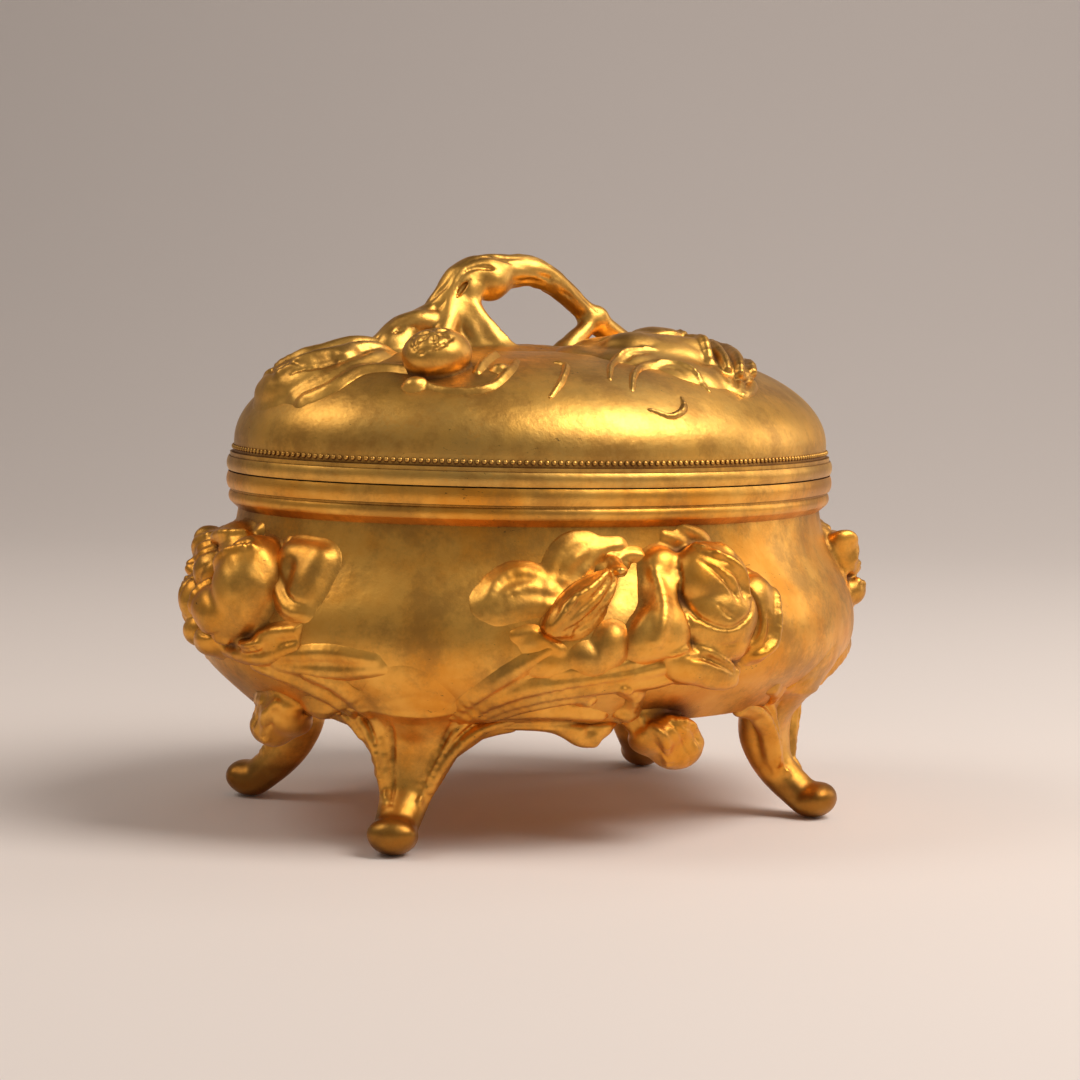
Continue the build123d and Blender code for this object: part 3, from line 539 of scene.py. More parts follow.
def gilding(name, lid=False, formed=True, toe=False):
    """Old gilt: mottled gold, brown in the recesses as patina and painted shade, rubbed to grey metal on
    the high points.

    Formed clay carries its recess and its exposure with it. Plainer metal finds its own recesses."""
    finish = Finish(name, metallic=1.0)
    cloud = finish.noise(7.0, 4.0, 0.6)
    fleck = finish.noise(0.9, 3.0, 0.7)
    stain = finish.noise(22.0, 3.0, 0.5)
    if formed:
        deep = finish.node("ShaderNodeAttribute", {"attribute_name": "recess"}, {}, "Fac")
        high = finish.node("ShaderNodeAttribute", {"attribute_name": "exposed"}, {}, "Fac")
    else:
        shade = finish.node("ShaderNodeAmbientOcclusion", {"samples": 6}, {"Distance": 5.0 * MM}, "AO")
        deep = (1.0 - shade) * 0.8
        high = fleck * 0.0
    warm = GOLD_GREY if lid else GOLD_ORANGE
    colour = finish.mixed((cloud * 0.55 + stain * 0.75 - 0.12).between(0.3, 0.75), GOLD_BRIGHT, warm)
    colour = finish.mixed((fleck * 0.5 + cloud * 0.5).between(0.52, 0.68) * 0.35, colour, GOLD_ORANGE)
    patch = finish.noise(13.0, 5.0, 0.66) + fleck * 0.16
    colour = finish.mixed(patch.between(0.50, 0.74) * 0.7, colour, TARNISH)
    # Painted shade: the recesses, and on plain metal the occluded places, darken to brown and then
    # red-brown, partly patina and partly shade
    recess_patina_and_shade = deep + fleck * 0.16 + cloud * 0.12 - 0.14
    colour = finish.mixed(recess_patina_and_shade.between(0.06, 0.50) * 0.9, colour, PATINA_AND_SHADE_BROWN)
    colour = finish.mixed(recess_patina_and_shade.between(0.42, 0.75) * 0.8, colour, PATINA_AND_SHADE_RED)
    rubbed = (high + cloud * 0.35 + fleck * 0.25 - 0.3).between(0.30, 0.50)
    if toe:
        # The toe turns darker brown below the ankle
        low = finish.node("ShaderNodeSeparateXYZ", {}, {0: finish.place}, "Z")
        colour = finish.mixed(low.between(9.5 * MM, 7.0 * MM) * 0.6, colour, PATINA_AND_SHADE_BROWN)
    colour = finish.mixed(rubbed * (0.75 if formed else 0.0), colour, BARE_METAL)
    nick = finish.noise(2.6, 6.0, 0.78, (1, 1, 2.4)) + stain * 0.25
    colour = finish.mixed(nick.between(0.78, 0.83) * 0.8, colour, NICK)
    rough = 0.30 + cloud * 0.12 + fleck * 0.10 + recess_patina_and_shade.between(0.1, 0.6) * 0.2
    pits = finish.dented(finish.noise(0.7, 2.0, 0.7), 0.10, 0.35)
    waves = finish.dented(finish.noise(5.0, 2.0, 0.5), 0.5, 0.3, pits)
    metal = 1.0 - recess_patina_and_shade.between(0.25, 0.7) * 0.5
    return finish.done(base_color=colour, roughness=rough, metallic=metal, normal=waves)


def make_object(name, points, faces, material, **measures):
    """A smooth-shaded object from points in millimetres, with a measure for each point."""
    mesh = bpy.data.meshes.new(name)
    mesh.from_pydata((np.asarray(points) * MM).tolist(), [], np.asarray(faces).tolist())
    mesh.update()
    mesh.polygons.foreach_set("use_smooth", [True] * len(mesh.polygons))
    for measure, values in measures.items():
        mesh.attributes.new(measure, "FLOAT", "POINT").data.foreach_set("value", values)
    mesh.materials.append(material)
    piece = bpy.data.objects.new(name, mesh)
    bpy.context.scene.collection.objects.link(piece)
    return piece


def add_piece(piece, body, slot, *nodes):
    """Hands a piece to its body, in place of any nodes that it stands for. Its slot is not used."""
    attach(piece, body)
    if nodes:
        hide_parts(*nodes)
    return piece


def cast(skin, name, body, material, slot, mirror=(1, 1)):
    """A casting from worked clay, mirrored in x or y, in place of the node of its name."""
    points, faces, recess, exposed = skin
    if mirror[0] * mirror[1] < 0:
        faces = faces[:, ::-1]
    points = points * [mirror[0], mirror[1], 1]
    piece = make_object(name + "_cast", points, faces, material, recess=recess, exposed=exposed)
    return add_piece(piece, body, slot, name)


# Front spray, in millimetres: places are (across, up) from the front

# Height of the hanging flower that the others are moved or enlarged from
PENDANT_HEIGHT = 24.0


def leaves():
    """Two low leaves beside the bud, each a fan of soft lobes: one along the belly, one standing behind."""
    clay = Clay((-46, -60, 44), (-5, -38, 69), belly, FRONT)
    clay.dab((-31.4, 53.4), -1.9, (8.4, 4.2, 2.4), turn=10, blend=1.6)
    clay.stroke([
        (-38.4, 51.4, 0.4), (-35.2, 55.2, 0.9), (-30.6, 57.4, 1.0), (-26.4, 56.2, 0.9),
        (-25.0, 54.0, 0.5),
    ], -0.1, 1.4)
    clay.stroke([
        (-37.4, 50.8, 0.4), (-33.8, 53.4, 0.8), (-29.8, 54.6, 0.9), (-26.0, 54.0, 0.7),
    ], -0.2, 1.4)
    clay.stroke([
        (-36.4, 49.6, 0.3), (-33.0, 51.0, 0.7), (-29.4, 51.6, 0.8), (-25.8, 51.2, 0.6),
    ], -0.3, 1.4)
    clay.slit([(-37.4, 51.2, 0.2), (-34.0, 53.2, 0.45), (-29.4, 53.6, 0.45), (-26.0, 53.0, 0.25)])
    clay.slit([(-37.0, 52.2, 0.2), (-34.6, 54.6, 0.4), (-30.4, 56.2, 0.4), (-26.8, 55.4, 0.2)])
    clay.dab((-18.8, 59.8), -1.7, (5.6, 3.8, 2.4), turn=50, blend=1.4)
    clay.stroke([
        (-24.4, 56.4, 0.4), (-22.6, 60.2, 0.9), (-19.6, 62.8, 0.9), (-16.4, 63.2, 0.4),
    ], -0.1, 1.4)
    clay.stroke([
        (-22.6, 56.4, 0.4), (-20.4, 59.6, 0.8), (-17.0, 61.6, 0.7), (-13.8, 62.2, 0.3),
    ], 0.0, 1.2)
    clay.stroke([
        (-17.4, 58.0, 0.4), (-15.0, 60.6, 0.7), (-12.2, 62.2, 0.6), (-9.4, 62.6, 0.3),
    ], -0.1, 1.2)
    clay.slit([(-23.4, 56.8, 0.2), (-21.6, 59.8, 0.4), (-18.4, 62.2, 0.35), (-15.6, 62.8, 0.2)])
    clay.slit([(-21.0, 56.8, 0.2), (-18.6, 59.4, 0.4), (-14.8, 61.4, 0.25)])
    return clay.seat(2.8, 0.06).worked()


def bud():
    """The pointed bud across the leaves, with furled petals and a ragged calyx at its tip."""
    clay = Clay((-34, -64, 40), (-4, -44, 67), belly, FRONT)
    clay.dab((-20.6, 51.4), 1.2, (9.8, 3.6, 3.8), turn=38)
    clay.stroke([
        (-28.2, 47.8, 0.5), (-24.4, 52.6, 1.0), (-18.8, 55.8, 1.0), (-12.2, 59.8, 0.6),
    ], 0.1, 0.8)
    clay.stroke([
        (-27.4, 46.0, 0.5), (-21.4, 47.0, 1.2), (-16.8, 51.0, 1.1), (-11.8, 58.0, 0.6),
    ], 0.1, 0.8)
    clay.slit([(-26.8, 47.8, 0.2), (-23.0, 51.0, 0.45), (-18.2, 54.6, 0.45), (-13.8, 58.6, 0.2)])
    clay.slit([(-25.4, 47.0, 0.25), (-21.6, 48.8, 0.5), (-17.4, 52.2, 0.5), (-13.8, 56.6, 0.2)])
    clay.slit([(-26.2, 49.8, 0.2), (-21.8, 53.8, 0.3), (-15.4, 57.8, 0.2)])
    clay.slit([(-23.4, 46.6, 0.2), (-18.8, 48.6, 0.3), (-14.2, 54.0, 0.2)])
    clay.dab((-12.6, 58.6), 0.4, (2.4, 1.6, 1.8), turn=38)
    # Ragged calyx, and the neck that runs to the slab petal
    for turn, reach in ((104, 3.0), (70, 4.0), (36, 4.2), (2, 3.4), (-30, 2.6)):
        angle = math.radians(turn)
        tip = (-12.0 + reach * math.cos(angle), 59.0 + reach * math.sin(angle))
        clay.stroke([
            (-13.0, 58.4, 0.9), ((tip[0] - 12.4) / 2, (tip[1] + 58.8) / 2, 0.7), (*tip, 0.35),
        ], 0.1)
    clay.stroke([(-9.6, 60.4, 0.7), (-6.8, 61.0, 0.8), (-4.0, 60.4, 0.7)], 0.0)
    return clay.seat(1.6, 0.10).worked()


def lower_petals():
    """Smooth round lobes under the bud."""
    clay = Clay((-37, -64, 34), (-8, -44, 54), belly, FRONT)
    clay.dab((-14.8, 43.4), -0.5, (3.6, 4.4, 2.7), turn=-12)
    clay.dab((-18.8, 40.4), -0.8, (4.2, 3.2, 2.5), turn=-16)
    clay.dab((-29.6, 44.0), -1.2, (3.2, 2.2, 1.9), turn=-20, blend=1.2)
    clay.dab((-26.6, 39.3), -1.0, (4.8, 2.0, 1.6), turn=-8, blend=1.2)
    clay.stroke([
        (-33.4, 45.6, 0.4), (-30.6, 46.2, 0.7), (-27.8, 44.4, 0.7), (-25.4, 42.8, 0.4),
    ], 0.0, 1.0)
    return clay.seat(1.8, 0.06).worked()


def rose():
    """The full rose: a furled heart with a slab petal, a ring petal and a rolled one below."""
    clay = Clay((-16, -66, 28), (32, -40, 70), belly, FRONT)
    # Hood of the heart, with two petals wrapped under it
    clay.dab((9.6, 54.8), 1.8, (9.0, 8.0, 5.8), turn=-14)
    clay.dab((10.8, 49.4), 0.7, (8.8, 8.0, 5.4), turn=-22, blend=0.4)
    clay.dab((10.0, 46.4), -0.4, (9.2, 6.8, 4.8), turn=-24, blend=0.4)
    # Slab petal on the left, which widens to a swollen foot
    clay.dab((-0.6, 58.6), 0.2, (4.4, 3.6, 3.2), turn=8, blend=1.4)
    clay.dab((-2.0, 52.6), -0.6, (4.4, 6.0, 3.4), turn=-8, blend=2.4)
    clay.dab((-3.8, 46.0), 0.5, (6.4, 5.6, 3.7), turn=4, blend=2.4)
    clay.dab((-8.2, 43.6), -0.2, (3.8, 3.8, 2.9), turn=6, blend=2.4)
    clay.stroke([(-3.6, 57.6, 0.6), (-3.8, 52.6, 1.0), (-5.4, 48.6, 1.0), (-7.0, 44.6, 0.8)], -0.3, 1.6)
    # Ring petal on the right, with an angular fold
    clay.dab((22.0, 47.0), -0.2, (5.4, 8.4, 3.1), turn=-14, blend=1.0)
    clay.stroke([
        (20.8, 56.8, 0.6), (26.2, 53.6, 0.9), (26.0, 49.0, 0.8), (24.4, 42.4, 0.9), (18.6, 39.4, 0.7),
    ], 0.5, 1.2)
    clay.dab((21.8, 51.8), 0.4, (4.2, 4.4, 3.0), turn=-40, blend=1.0)
    clay.slit([(19.0, 53.4, 0.3), (20.0, 49.4, 0.9), (19.4, 45.4, 1.1), (16.4, 41.6, 0.5)], 0.1, 0.6)
    clay.slit([(22.6, 48.6, 0.3), (23.0, 45.4, 0.7), (21.0, 41.8, 0.3)], 0.2, 0.6)
    # Rolled petal below, hollow behind its edge
    clay.dab((5.8, 38.2), 1.0, (9.8, 3.6, 3.1), turn=-19)
    clay.dab((1.6, 38.6), 0.6, (5.2, 3.2, 2.9), turn=-10, blend=1.2)
    clay.stroke([(-3.4, 41.8, 0.6), (2.6, 42.8, 0.9), (9.6, 40.0, 0.9), (15.8, 36.2, 0.6)], 0.3)
    clay.slit([(1.4, 40.9, 0.3), (4.8, 40.8, 0.8), (8.8, 39.2, 0.6), (12.0, 37.4, 0.3)], 0.2)
    # Edges of the wrapped petals, and the slits of the heart
    clay.slit([
        (0.8, 54.0, 0.3), (3.6, 48.8, 0.6), (9.8, 46.6, 0.6), (15.6, 49.6, 0.6), (18.6, 54.8, 0.3),
    ])
    clay.slit([(3.0, 46.4, 0.2), (7.2, 43.2, 0.35), (12.2, 43.2, 0.3)])
    clay.stroke([(6.4, 61.8, 0.5), (11.4, 60.4, 0.9), (15.0, 57.0, 0.9), (16.0, 52.6, 0.5)], 0.1, 0.6)
    clay.slit([(4.8, 60.2, 0.25), (8.2, 57.6, 0.7), (11.0, 54.4, 0.6), (12.2, 51.6, 0.2)])
    clay.slit([(9.4, 59.0, 0.2), (12.6, 57.2, 0.6), (14.0, 54.0, 0.5), (14.0, 51.6, 0.2)])
    clay.slit([(14.8, 60.4, 0.2), (17.4, 57.0, 0.6), (17.8, 53.0, 0.3)])
    clay.slit([(7.4, 51.4, 0.2), (9.0, 49.6, 0.45), (10.6, 48.6, 0.2)])
    clay.slit([(1.6, 59.4, 0.3), (1.0, 54.0, 0.6), (1.4, 48.6, 0.6), (2.8, 43.6, 0.4)])
    # Faint folds above
    clay.stroke([(1.6, 64.4, 0.4), (5.6, 63.2, 0.6), (9.0, 61.6, 0.4)], -0.6, 1.4)
    clay.stroke([(6.2, 66.0, 0.4), (10.2, 64.2, 0.6), (13.6, 61.6, 0.4)], -0.6, 1.4)
    return clay.seat(1.8, 0.08).worked()


def stem():
    """Stems that run from the leg's ribs along the belly's foot to the rose."""
    clay = Clay((-48, -64, 24), (6, -36, 46), belly, FRONT)
    clay.stroke([
        (-38.6, 26.0, 1.1), (-36.0, 31.2, 1.3), (-30.0, 34.6, 1.3), (-20.0, 36.4, 1.3), (-9.5, 37.6, 1.3),
        (-2, 39.2, 1.5),
    ], 0.1, 1.0)
    clay.stroke([
        (-37.6, 25.4, 0.8), (-34.4, 29.4, 1.0), (-28.0, 32.6, 1.1), (-18.0, 34.6, 1.2), (-6.0, 35.6, 1.2),
        (1.0, 37.0, 1.0),
    ], 0.1, 1.0)
    clay.stroke([
        (-40.6, 27.6, 0.8), (-39.0, 32.6, 1.1), (-35.4, 37.0, 1.1), (-30.4, 41.0, 0.9),
        (-27.4, 43.0, 0.5),
    ], 0.0, 1.0)
    clay.stroke([
        (-35.4, 26.4, 0.7), (-31.0, 29.6, 1.0), (-25.0, 31.6, 1.1), (-19.6, 32.6, 1.0),
        (-16.8, 31.4, 0.8),
    ], 0.2)
    clay.stroke([(-12.0, 34.6, 0.8), (-7.6, 33.0, 1.0), (-6.0, 30.0, 0.9)], 0.3)
    clay.dab((-6.0, 28.4), 0.4, (2.0, 1.8, 1.6))
    clay.stroke([(-26.0, 38.0, 0.4), (-18.0, 38.6, 0.7), (-10.0, 39.8, 0.6), (-4, 41.2, 0.5)], 0.0)
    clay.slit([
        (-36.6, 28.0, 0.2), (-33.0, 31.6, 0.45), (-26.0, 34.2, 0.45), (-14.0, 36.2, 0.4),
        (-5.0, 37.4, 0.2),
    ])
    return clay.seat(2.0, 0.08).worked()


def apron_scroll():
    """The rolled edge of the apron, a flowing leaf that ends in a knob."""
    clay = Clay((-44, -60, 15), (-2, -30, 36), belly, FRONT)
    edge = [
        (-37.0, 24.0, 0.9), (-31.5, 26.0, 1.3), (-26.0, 26.4, 1.6),
        (-20.2, 25.4, 1.8), (-15.6, 23.0, 1.8), (-12.4, 22.0, 1.2),
    ]
    clay.rod([(*on_apron(across, up), radius) for across, up, radius in edge], 1.4)
    clay.rod([(*on_apron(across - 1.0, up + 1.6), radius) for across, up, radius in edge[:5]], 1.8)
    clay.rod([(*on_apron(-12.4, 23.4), 1.9), (*on_apron(-9.8, 25.0), 1.8)], 1.2)
    clay.stroke([
        (-33.0, 28.6, 0.6), (-26.0, 29.4, 1.0), (-18.0, 29.0, 1.0), (-12.0, 27.6, 0.8),
    ], 0.0, 1.4)
    return clay.seat(2.2, 0.08).worked()


def pendant(centre_across, surface_view, low, high, flip=1, rise=0.0, grow=1.0):
    """The drooping flower under the apron: two heart-shaped petals with a ridge between."""
    clay = Clay(low, high, belly, surface_view)

    def at(across, up, *radius):
        height = PENDANT_HEIGHT + rise + (up - PENDANT_HEIGHT) * grow
        return (centre_across + across * flip * grow, height, *radius)

    clay.dab(at(0.4, 22.4), 0.2, (7.4 * grow, 6.0 * grow, 4.2), turn=-34 * flip)
    clay.dab(at(3.6, 20.2), 1.0, (4.8 * grow, 4.6 * grow, 3.8), turn=-30 * flip, blend=1.8)
    clay.dab(at(-3.2, 25.2), 0.7, (4.2 * grow, 4.0 * grow, 3.4), turn=14 * flip, blend=0.4)
    clay.stroke([at(-5.6, 26.0, 0.7), at(-2.6, 22.6, 0.9), at(0.6, 17.4, 0.8)], 0.1, 1.2)
    clay.stroke([at(-0.6, 26.0, 0.7), at(4.0, 24.8, 0.9), at(7.4, 21.0, 0.8)], 0.0, 1.2)
    clay.slit([at(-1.2, 25.4, 0.3), at(1.6, 22.4, 0.6), at(4.4, 17.6, 0.3)])
    clay.slit([at(1.4, 24.8, 0.2), at(4.2, 23.4, 0.4), at(6.2, 20.4, 0.2)])
    clay.slit([at(-4.6, 22.4, 0.2), at(-1.6, 19.6, 0.4), at(1.0, 16.8, 0.2)])
    return clay.seat(1.6, 0.12).worked()


# Left end: places are (towards the front, up) as seen from there


def end_rose():
    """The great closed rose of the left end, with crumpled petals round its far side."""
    clay = Clay((-90, -26, 30), (-56, 34, 72), belly, LEFT_END)
    clay.dab((10.6, 52.2), 0.4, (7.4, 10.6, 8.6), turn=6)
    clay.dab((6.4, 46.4), 1.0, (7.6, 5.6, 7.2), turn=-24, blend=1.2)
    # Layered petals on the far side
    clay.dab((0.6, 59.0), 0.2, (8.6, 4.6, 5.8), turn=-22, blend=0.6)
    clay.dab((-4.6, 53.6), 0.4, (6.6, 5.4, 6.4), turn=-40, blend=0.6)
    clay.dab((-8.4, 58.0), -0.2, (7.0, 3.6, 4.4), turn=-40, blend=0.6)
    clay.dab((-8.6, 47.6), 0.4, (5.6, 4.4, 5.4), turn=-60, blend=0.6)
    clay.dab((-13.0, 51.4), -0.4, (3.4, 5.4, 4.0), turn=0, blend=0.8)
    clay.dab((-12.0, 44.4), -0.2, (3.8, 3.4, 3.8), turn=0, blend=0.6)
    clay.dab((-17.4, 55.4), 0.8, (5.2, 5.6, 5.0), turn=20, blend=1.8)
    clay.dab((-19.4, 57.2), 3.6, (2.2, 3.4, 3.8), turn=35, blend=1.6)
    clay.dab((-17.4, 51.6), 2.0, (3.8, 2.2, 3.8), turn=-20, blend=1.2)
    clay.dab((-15.6, 59.8), -1.0, (4.6, 2.8, 3.4), turn=-30, blend=1.0)
    clay.slit([(-14.6, 57.4, 0.3), (-18.4, 54.6, 0.6), (-21.2, 52.6, 0.3)])
    clay.dab((-19.0, 47.4), 0.6, (3.6, 3.2, 3.8), turn=-20, blend=1.4)
    clay.stroke([
        (-13.0, 61.4, 0.5), (-18.6, 59.6, 0.8), (-22.0, 55.4, 1.0), (-21.4, 49.6, 0.6),
    ], -0.2, 1.2)
    # Fold of the great petal, with a seam beside it
    clay.stroke([(14.2, 61.2, 0.7), (8.4, 58.4, 1.2), (3.6, 53.0, 1.3), (1.8, 46.8, 0.9)], 0.1, 0.9)
    clay.slit([(13.0, 62.0, 0.3), (6.6, 59.2, 0.6), (1.6, 53.6, 0.7), (0.2, 47.4, 0.3)])
    clay.stroke([(4.4, 63.0, 0.8), (-3.0, 61.4, 1.2), (-9.6, 57.0, 1.2), (-12.4, 50.6, 0.9)], 0.1, 0.9)
    clay.slit([(3.0, 61.0, 0.3), (-3.6, 58.6, 0.6), (-8.0, 53.8, 0.6), (-9.4, 48.4, 0.3)])
    clay.slit([(-0.6, 56.6, 0.3), (-3.6, 51.0, 0.6), (-3.8, 45.2, 0.4)])
    clay.slit([(-10.0, 62.0, 0.3), (-13.4, 56.6, 0.5), (-14.0, 50.0, 0.3)])
    # Lower lumps and leaves
    clay.dab((1.0, 40.6), 0.2, (5.2, 3.6, 4.2), turn=10, blend=0.8)
    clay.dab((-6.6, 41.4), 0.2, (4.0, 3.4, 4.0), turn=20, blend=0.6)
    clay.stroke([(12.8, 39.6, 0.8), (17.6, 42.6, 1.4), (22.6, 44.4, 1.4), (27.0, 44.6, 0.8)], 0.3, 1.0)
    clay.stroke([(6.0, 38.8, 0.8), (12.0, 38.4, 1.3), (18.4, 38.8, 1.4), (25.2, 41.8, 0.8)], 0.3, 1.0)
    clay.stroke([(9.6, 41.6, 0.8), (15.0, 40.8, 1.2), (21.0, 42.0, 1.1)], 0.5, 1.0)
    clay.slit([(10.4, 40.2, 0.3), (16.6, 40.2, 0.5), (23.4, 42.6, 0.3)])
    clay.slit([(-2.0, 43.6, 0.3), (5.0, 42.0, 0.6), (12.0, 43.2, 0.3)])
    return clay.seat(1.7, 0.16).worked()


def end_petal():
    """The square petal beside the end's rose, with a curled lip, and leaves sweeping under it."""
    clay = Clay((-80, -46, 20), (-44, -10, 70), belly, LEFT_END)
    clay.dab((19.6, 55.6), -0.4, (6.4, 6.4, 3.0), turn=-10)
    clay.dab((22.4, 58.4), -0.4, (3.6, 3.4, 2.8), turn=-10, blend=2.6)
    clay.dab((22.8, 52.4), -0.5, (4.0, 5.4, 2.9), turn=-10, blend=2.6)
    clay.dab((16.8, 58.6), -0.3, (3.6, 3.2, 2.8), turn=-10, blend=2.6)
    clay.stroke([
        (15.4, 57.0, 0.5), (16.4, 53.6, 0.9), (19.8, 50.6, 1.1), (22.8, 48.6, 1.1), (25.4, 48.2, 0.7),
    ], 0.2, 0.8)
    clay.slit([(17.6, 55.6, 0.3), (20.2, 52.9, 0.6), (23.4, 50.8, 0.6), (26.0, 50.2, 0.3)])
    clay.slit([(20.0, 57.6, 1.0), (20.6, 54.6, 1.3)], 0.7, 1.6)
    # Leaves that sweep from under the petal to the leg
    clay.stroke([(18.6, 38.4, 0.5), (24.6, 39.8, 0.9), (31.0, 40.6, 0.9), (37.0, 39.8, 0.5)], 0.0, 1.2)
    clay.stroke([(20.0, 37.2, 0.5), (26.0, 37.0, 0.8), (32.0, 37.0, 0.8), (37.6, 38.2, 0.4)], 0.0, 1.2)
    clay.slit([(21.0, 38.2, 0.2), (27.0, 38.5, 0.4), (33.6, 38.5, 0.25)])
    clay.stroke([(14.0, 36.6, 0.6), (20.0, 35.0, 0.9), (24.6, 32.4, 0.9), (27.0, 29.0, 0.7)], 0.0, 1.2)
    clay.dab((20.6, 28.2), -0.6, (3.4, 3.0, 2.4), turn=-10, blend=1.2)
    return clay.seat(2.0, 0.07).worked()


# Legs: places are (sideways, up) as seen along the leg's bearing

# Stations down the limb: out, height, half depth, half width, sideways shift
LIMB = (
    (35.0, 32.0, 6.8, 11.0, 6.8),
    (33.2, 28.6, 6.3, 10.4, 6.6),
    (31.4, 25.4, 5.6, 9.6, 6.4),
    (30.0, 22.0, 4.9, 8.6, 6.0),
    (29.6, 18.0, 4.6, 7.0, 5.5),
    (30.6, 14.4, 4.3, 5.9, 5.0),
    (32.4, 11.2, 4.0, 5.2, 4.5),
    (34.8, 8.4, 3.8, 4.8, 4.0),
    (37.6, 5.8, 3.6, 4.4, 3.5),
)

# How much thinner the limb is at its sides, and about how far a leg stands out from the end arc's centre
EDGE_THINNING = 0.36
LEG_REACH = 34

# Sheet of beads that fills the apron beside the limb, from the arch's edge up
WEB_MARGIN = 1.5
WEB_TOP = 29.5
WEB_HALF_THICKNESS = 1.7
WEB_SPACING = 0.7

# The knee stands on the belly only above this height, and its fillet is widest about this place
KNEE_FOOT = 29.8
KNEE_PLACE = (38, 6, 30)
FILLET = 2.4
KNEE_FILLET = 5.0


def on_leg(out, side, height):
    """A point of the front left leg: out from the end arc's centre, sideways to the right, and up."""
    across, _, outward = LEG_VIEW
    return np.array([-END_CENTRE, 0, 0]) + out * outward + side * across + np.array([0, 0, height])


def leg():
    """A cabriole leg: a flat knee panel on the belly, ribs that spread into the apron, and a rolled toe."""
    low = on_leg(LEG_REACH, 2, -1) - [26, 24, 0]
    high = on_leg(LEG_REACH, 2, 46) + [26, 26, 0]
    clay = Clay(low, high, belly, LEG_VIEW)
    for share in (-1, -0.5, 0, 0.5, 1):
        thick = 1 - EDGE_THINNING * share**2
        rod = []
        for out, height, deep, wide, shift in LIMB:
            side = shift + share * max(wide - deep * thick, 0.5)
            rod.append((*on_leg(out, side, height), deep * thick))
        clay.rod(rod, 1.4)
    # Web between the limb and the apron, with the arch's edge as its lower bound
    sides = np.linspace(ARCH_SIDES[0], ARCH_SIDES[-1], 60)
    arch = np.interp(sides, ARCH_SIDES, ARCH_HEIGHTS)
    web = []
    for side, foot in zip(sides, arch):
        for height in np.arange(foot + WEB_MARGIN, WEB_TOP, WEB_SPACING):
            web.append(on_leg(LEG_REACH, side, height))
    clay.press(settle(plan_swell, np.array(web), WEB_SWELL), WEB_HALF_THICKNESS, 1.6)
    # Knee panel, ribs that spread into the apron and grooves beside them
    shift = on_leg(0, 0, 0) @ LEG_VIEW[0]
    clay.dab((shift + 5.4, 31.0), -3.0, (7.6, 7.4, 3.2), blend=2.0)
    for rib in (
        [
            (-18.6, 34.0, 0.5), (-13.4, 32.4, 0.9), (-8.2, 29.4, 1.0), (-3.8, 24.4, 1.0),
            (-1.2, 18.6, 0.9), (0.2, 11.0, 0.7),
        ],
        [
            (-14.6, 36.2, 0.5), (-8.4, 33.8, 0.8), (-3.4, 29.0, 0.9), (-0.8, 23.0, 0.8), (0.6, 16.0, 0.7),
            (1.0, 10.6, 0.5),
        ],
        [(-12.6, 29.2, 0.6), (-8.0, 26.6, 0.9), (-4.8, 22.8, 0.7)],
        [(26.6, 27.2, 0.7), (20.6, 25.4, 1.0), (15.6, 21.8, 1.1), (11.8, 16.6, 1.0), (9.2, 10.6, 0.7)],
        [(24.6, 30.6, 0.6), (18.8, 28.0, 0.9), (14.0, 23.2, 0.9), (10.4, 16.8, 0.8), (7.8, 10.4, 0.6)],
    ):
        clay.stroke([(shift + side, height, radius) for side, height, radius in rib], 0.0, 1.0)
    for groove in (
        [(-0.4, 39.0, 0.3), (0.8, 32.0, 0.6), (1.8, 24.4, 0.6), (2.2, 16.0, 0.5), (2.4, 10.0, 0.3)],
        [(15.0, 28.6, 0.2), (12.6, 23.0, 0.5), (9.6, 16.6, 0.45), (7.0, 10.6, 0.3)],
        [(-12.6, 33.4, 0.2), (-6.2, 30.0, 0.4), (-2.2, 23.6, 0.4), (-0.2, 16.0, 0.3)],
        [(22.0, 27.8, 0.2), (16.8, 24.9, 0.4), (12.6, 19.6, 0.4), (9.4, 13.6, 0.3)],
    ):
        clay.slit([(shift + side, height, radius) for side, height, radius in groove])
    clay.field = clay.field + 0.06 * ripple(clay.grid, 3.4)
    # Rolled toe that swells out of the ankle
    clay.egg(on_leg(41.0, 3.3, 4.0), LEG_VIEW, (5.1, 3.95, 5.2), 0.9)
    clay.egg(on_leg(43.0, 3.3, 4.6), LEG_VIEW, (5.0, 3.2, 3.4), 0.7)
    clay.field = np.maximum(clay.field, -clay.grid[..., 2])
    # The knee runs into the belly with a wide fillet, in front of the bowl's foot
    bowl = clay.base
    clay.base = np.maximum(bowl, KNEE_FOOT - clay.grid[..., 2])
    knee = clay.within(on_leg(*KNEE_PLACE), 7.0, 17.0)
    clay.seat(FILLET + (KNEE_FILLET - FILLET) * knee, 0.0)
    # Nothing of the leg may show inside the bowl
    clay.field = np.maximum(clay.field, -(bowl + BURY))
    return clay.worked()


# Lid: places are (across, up) as seen from above


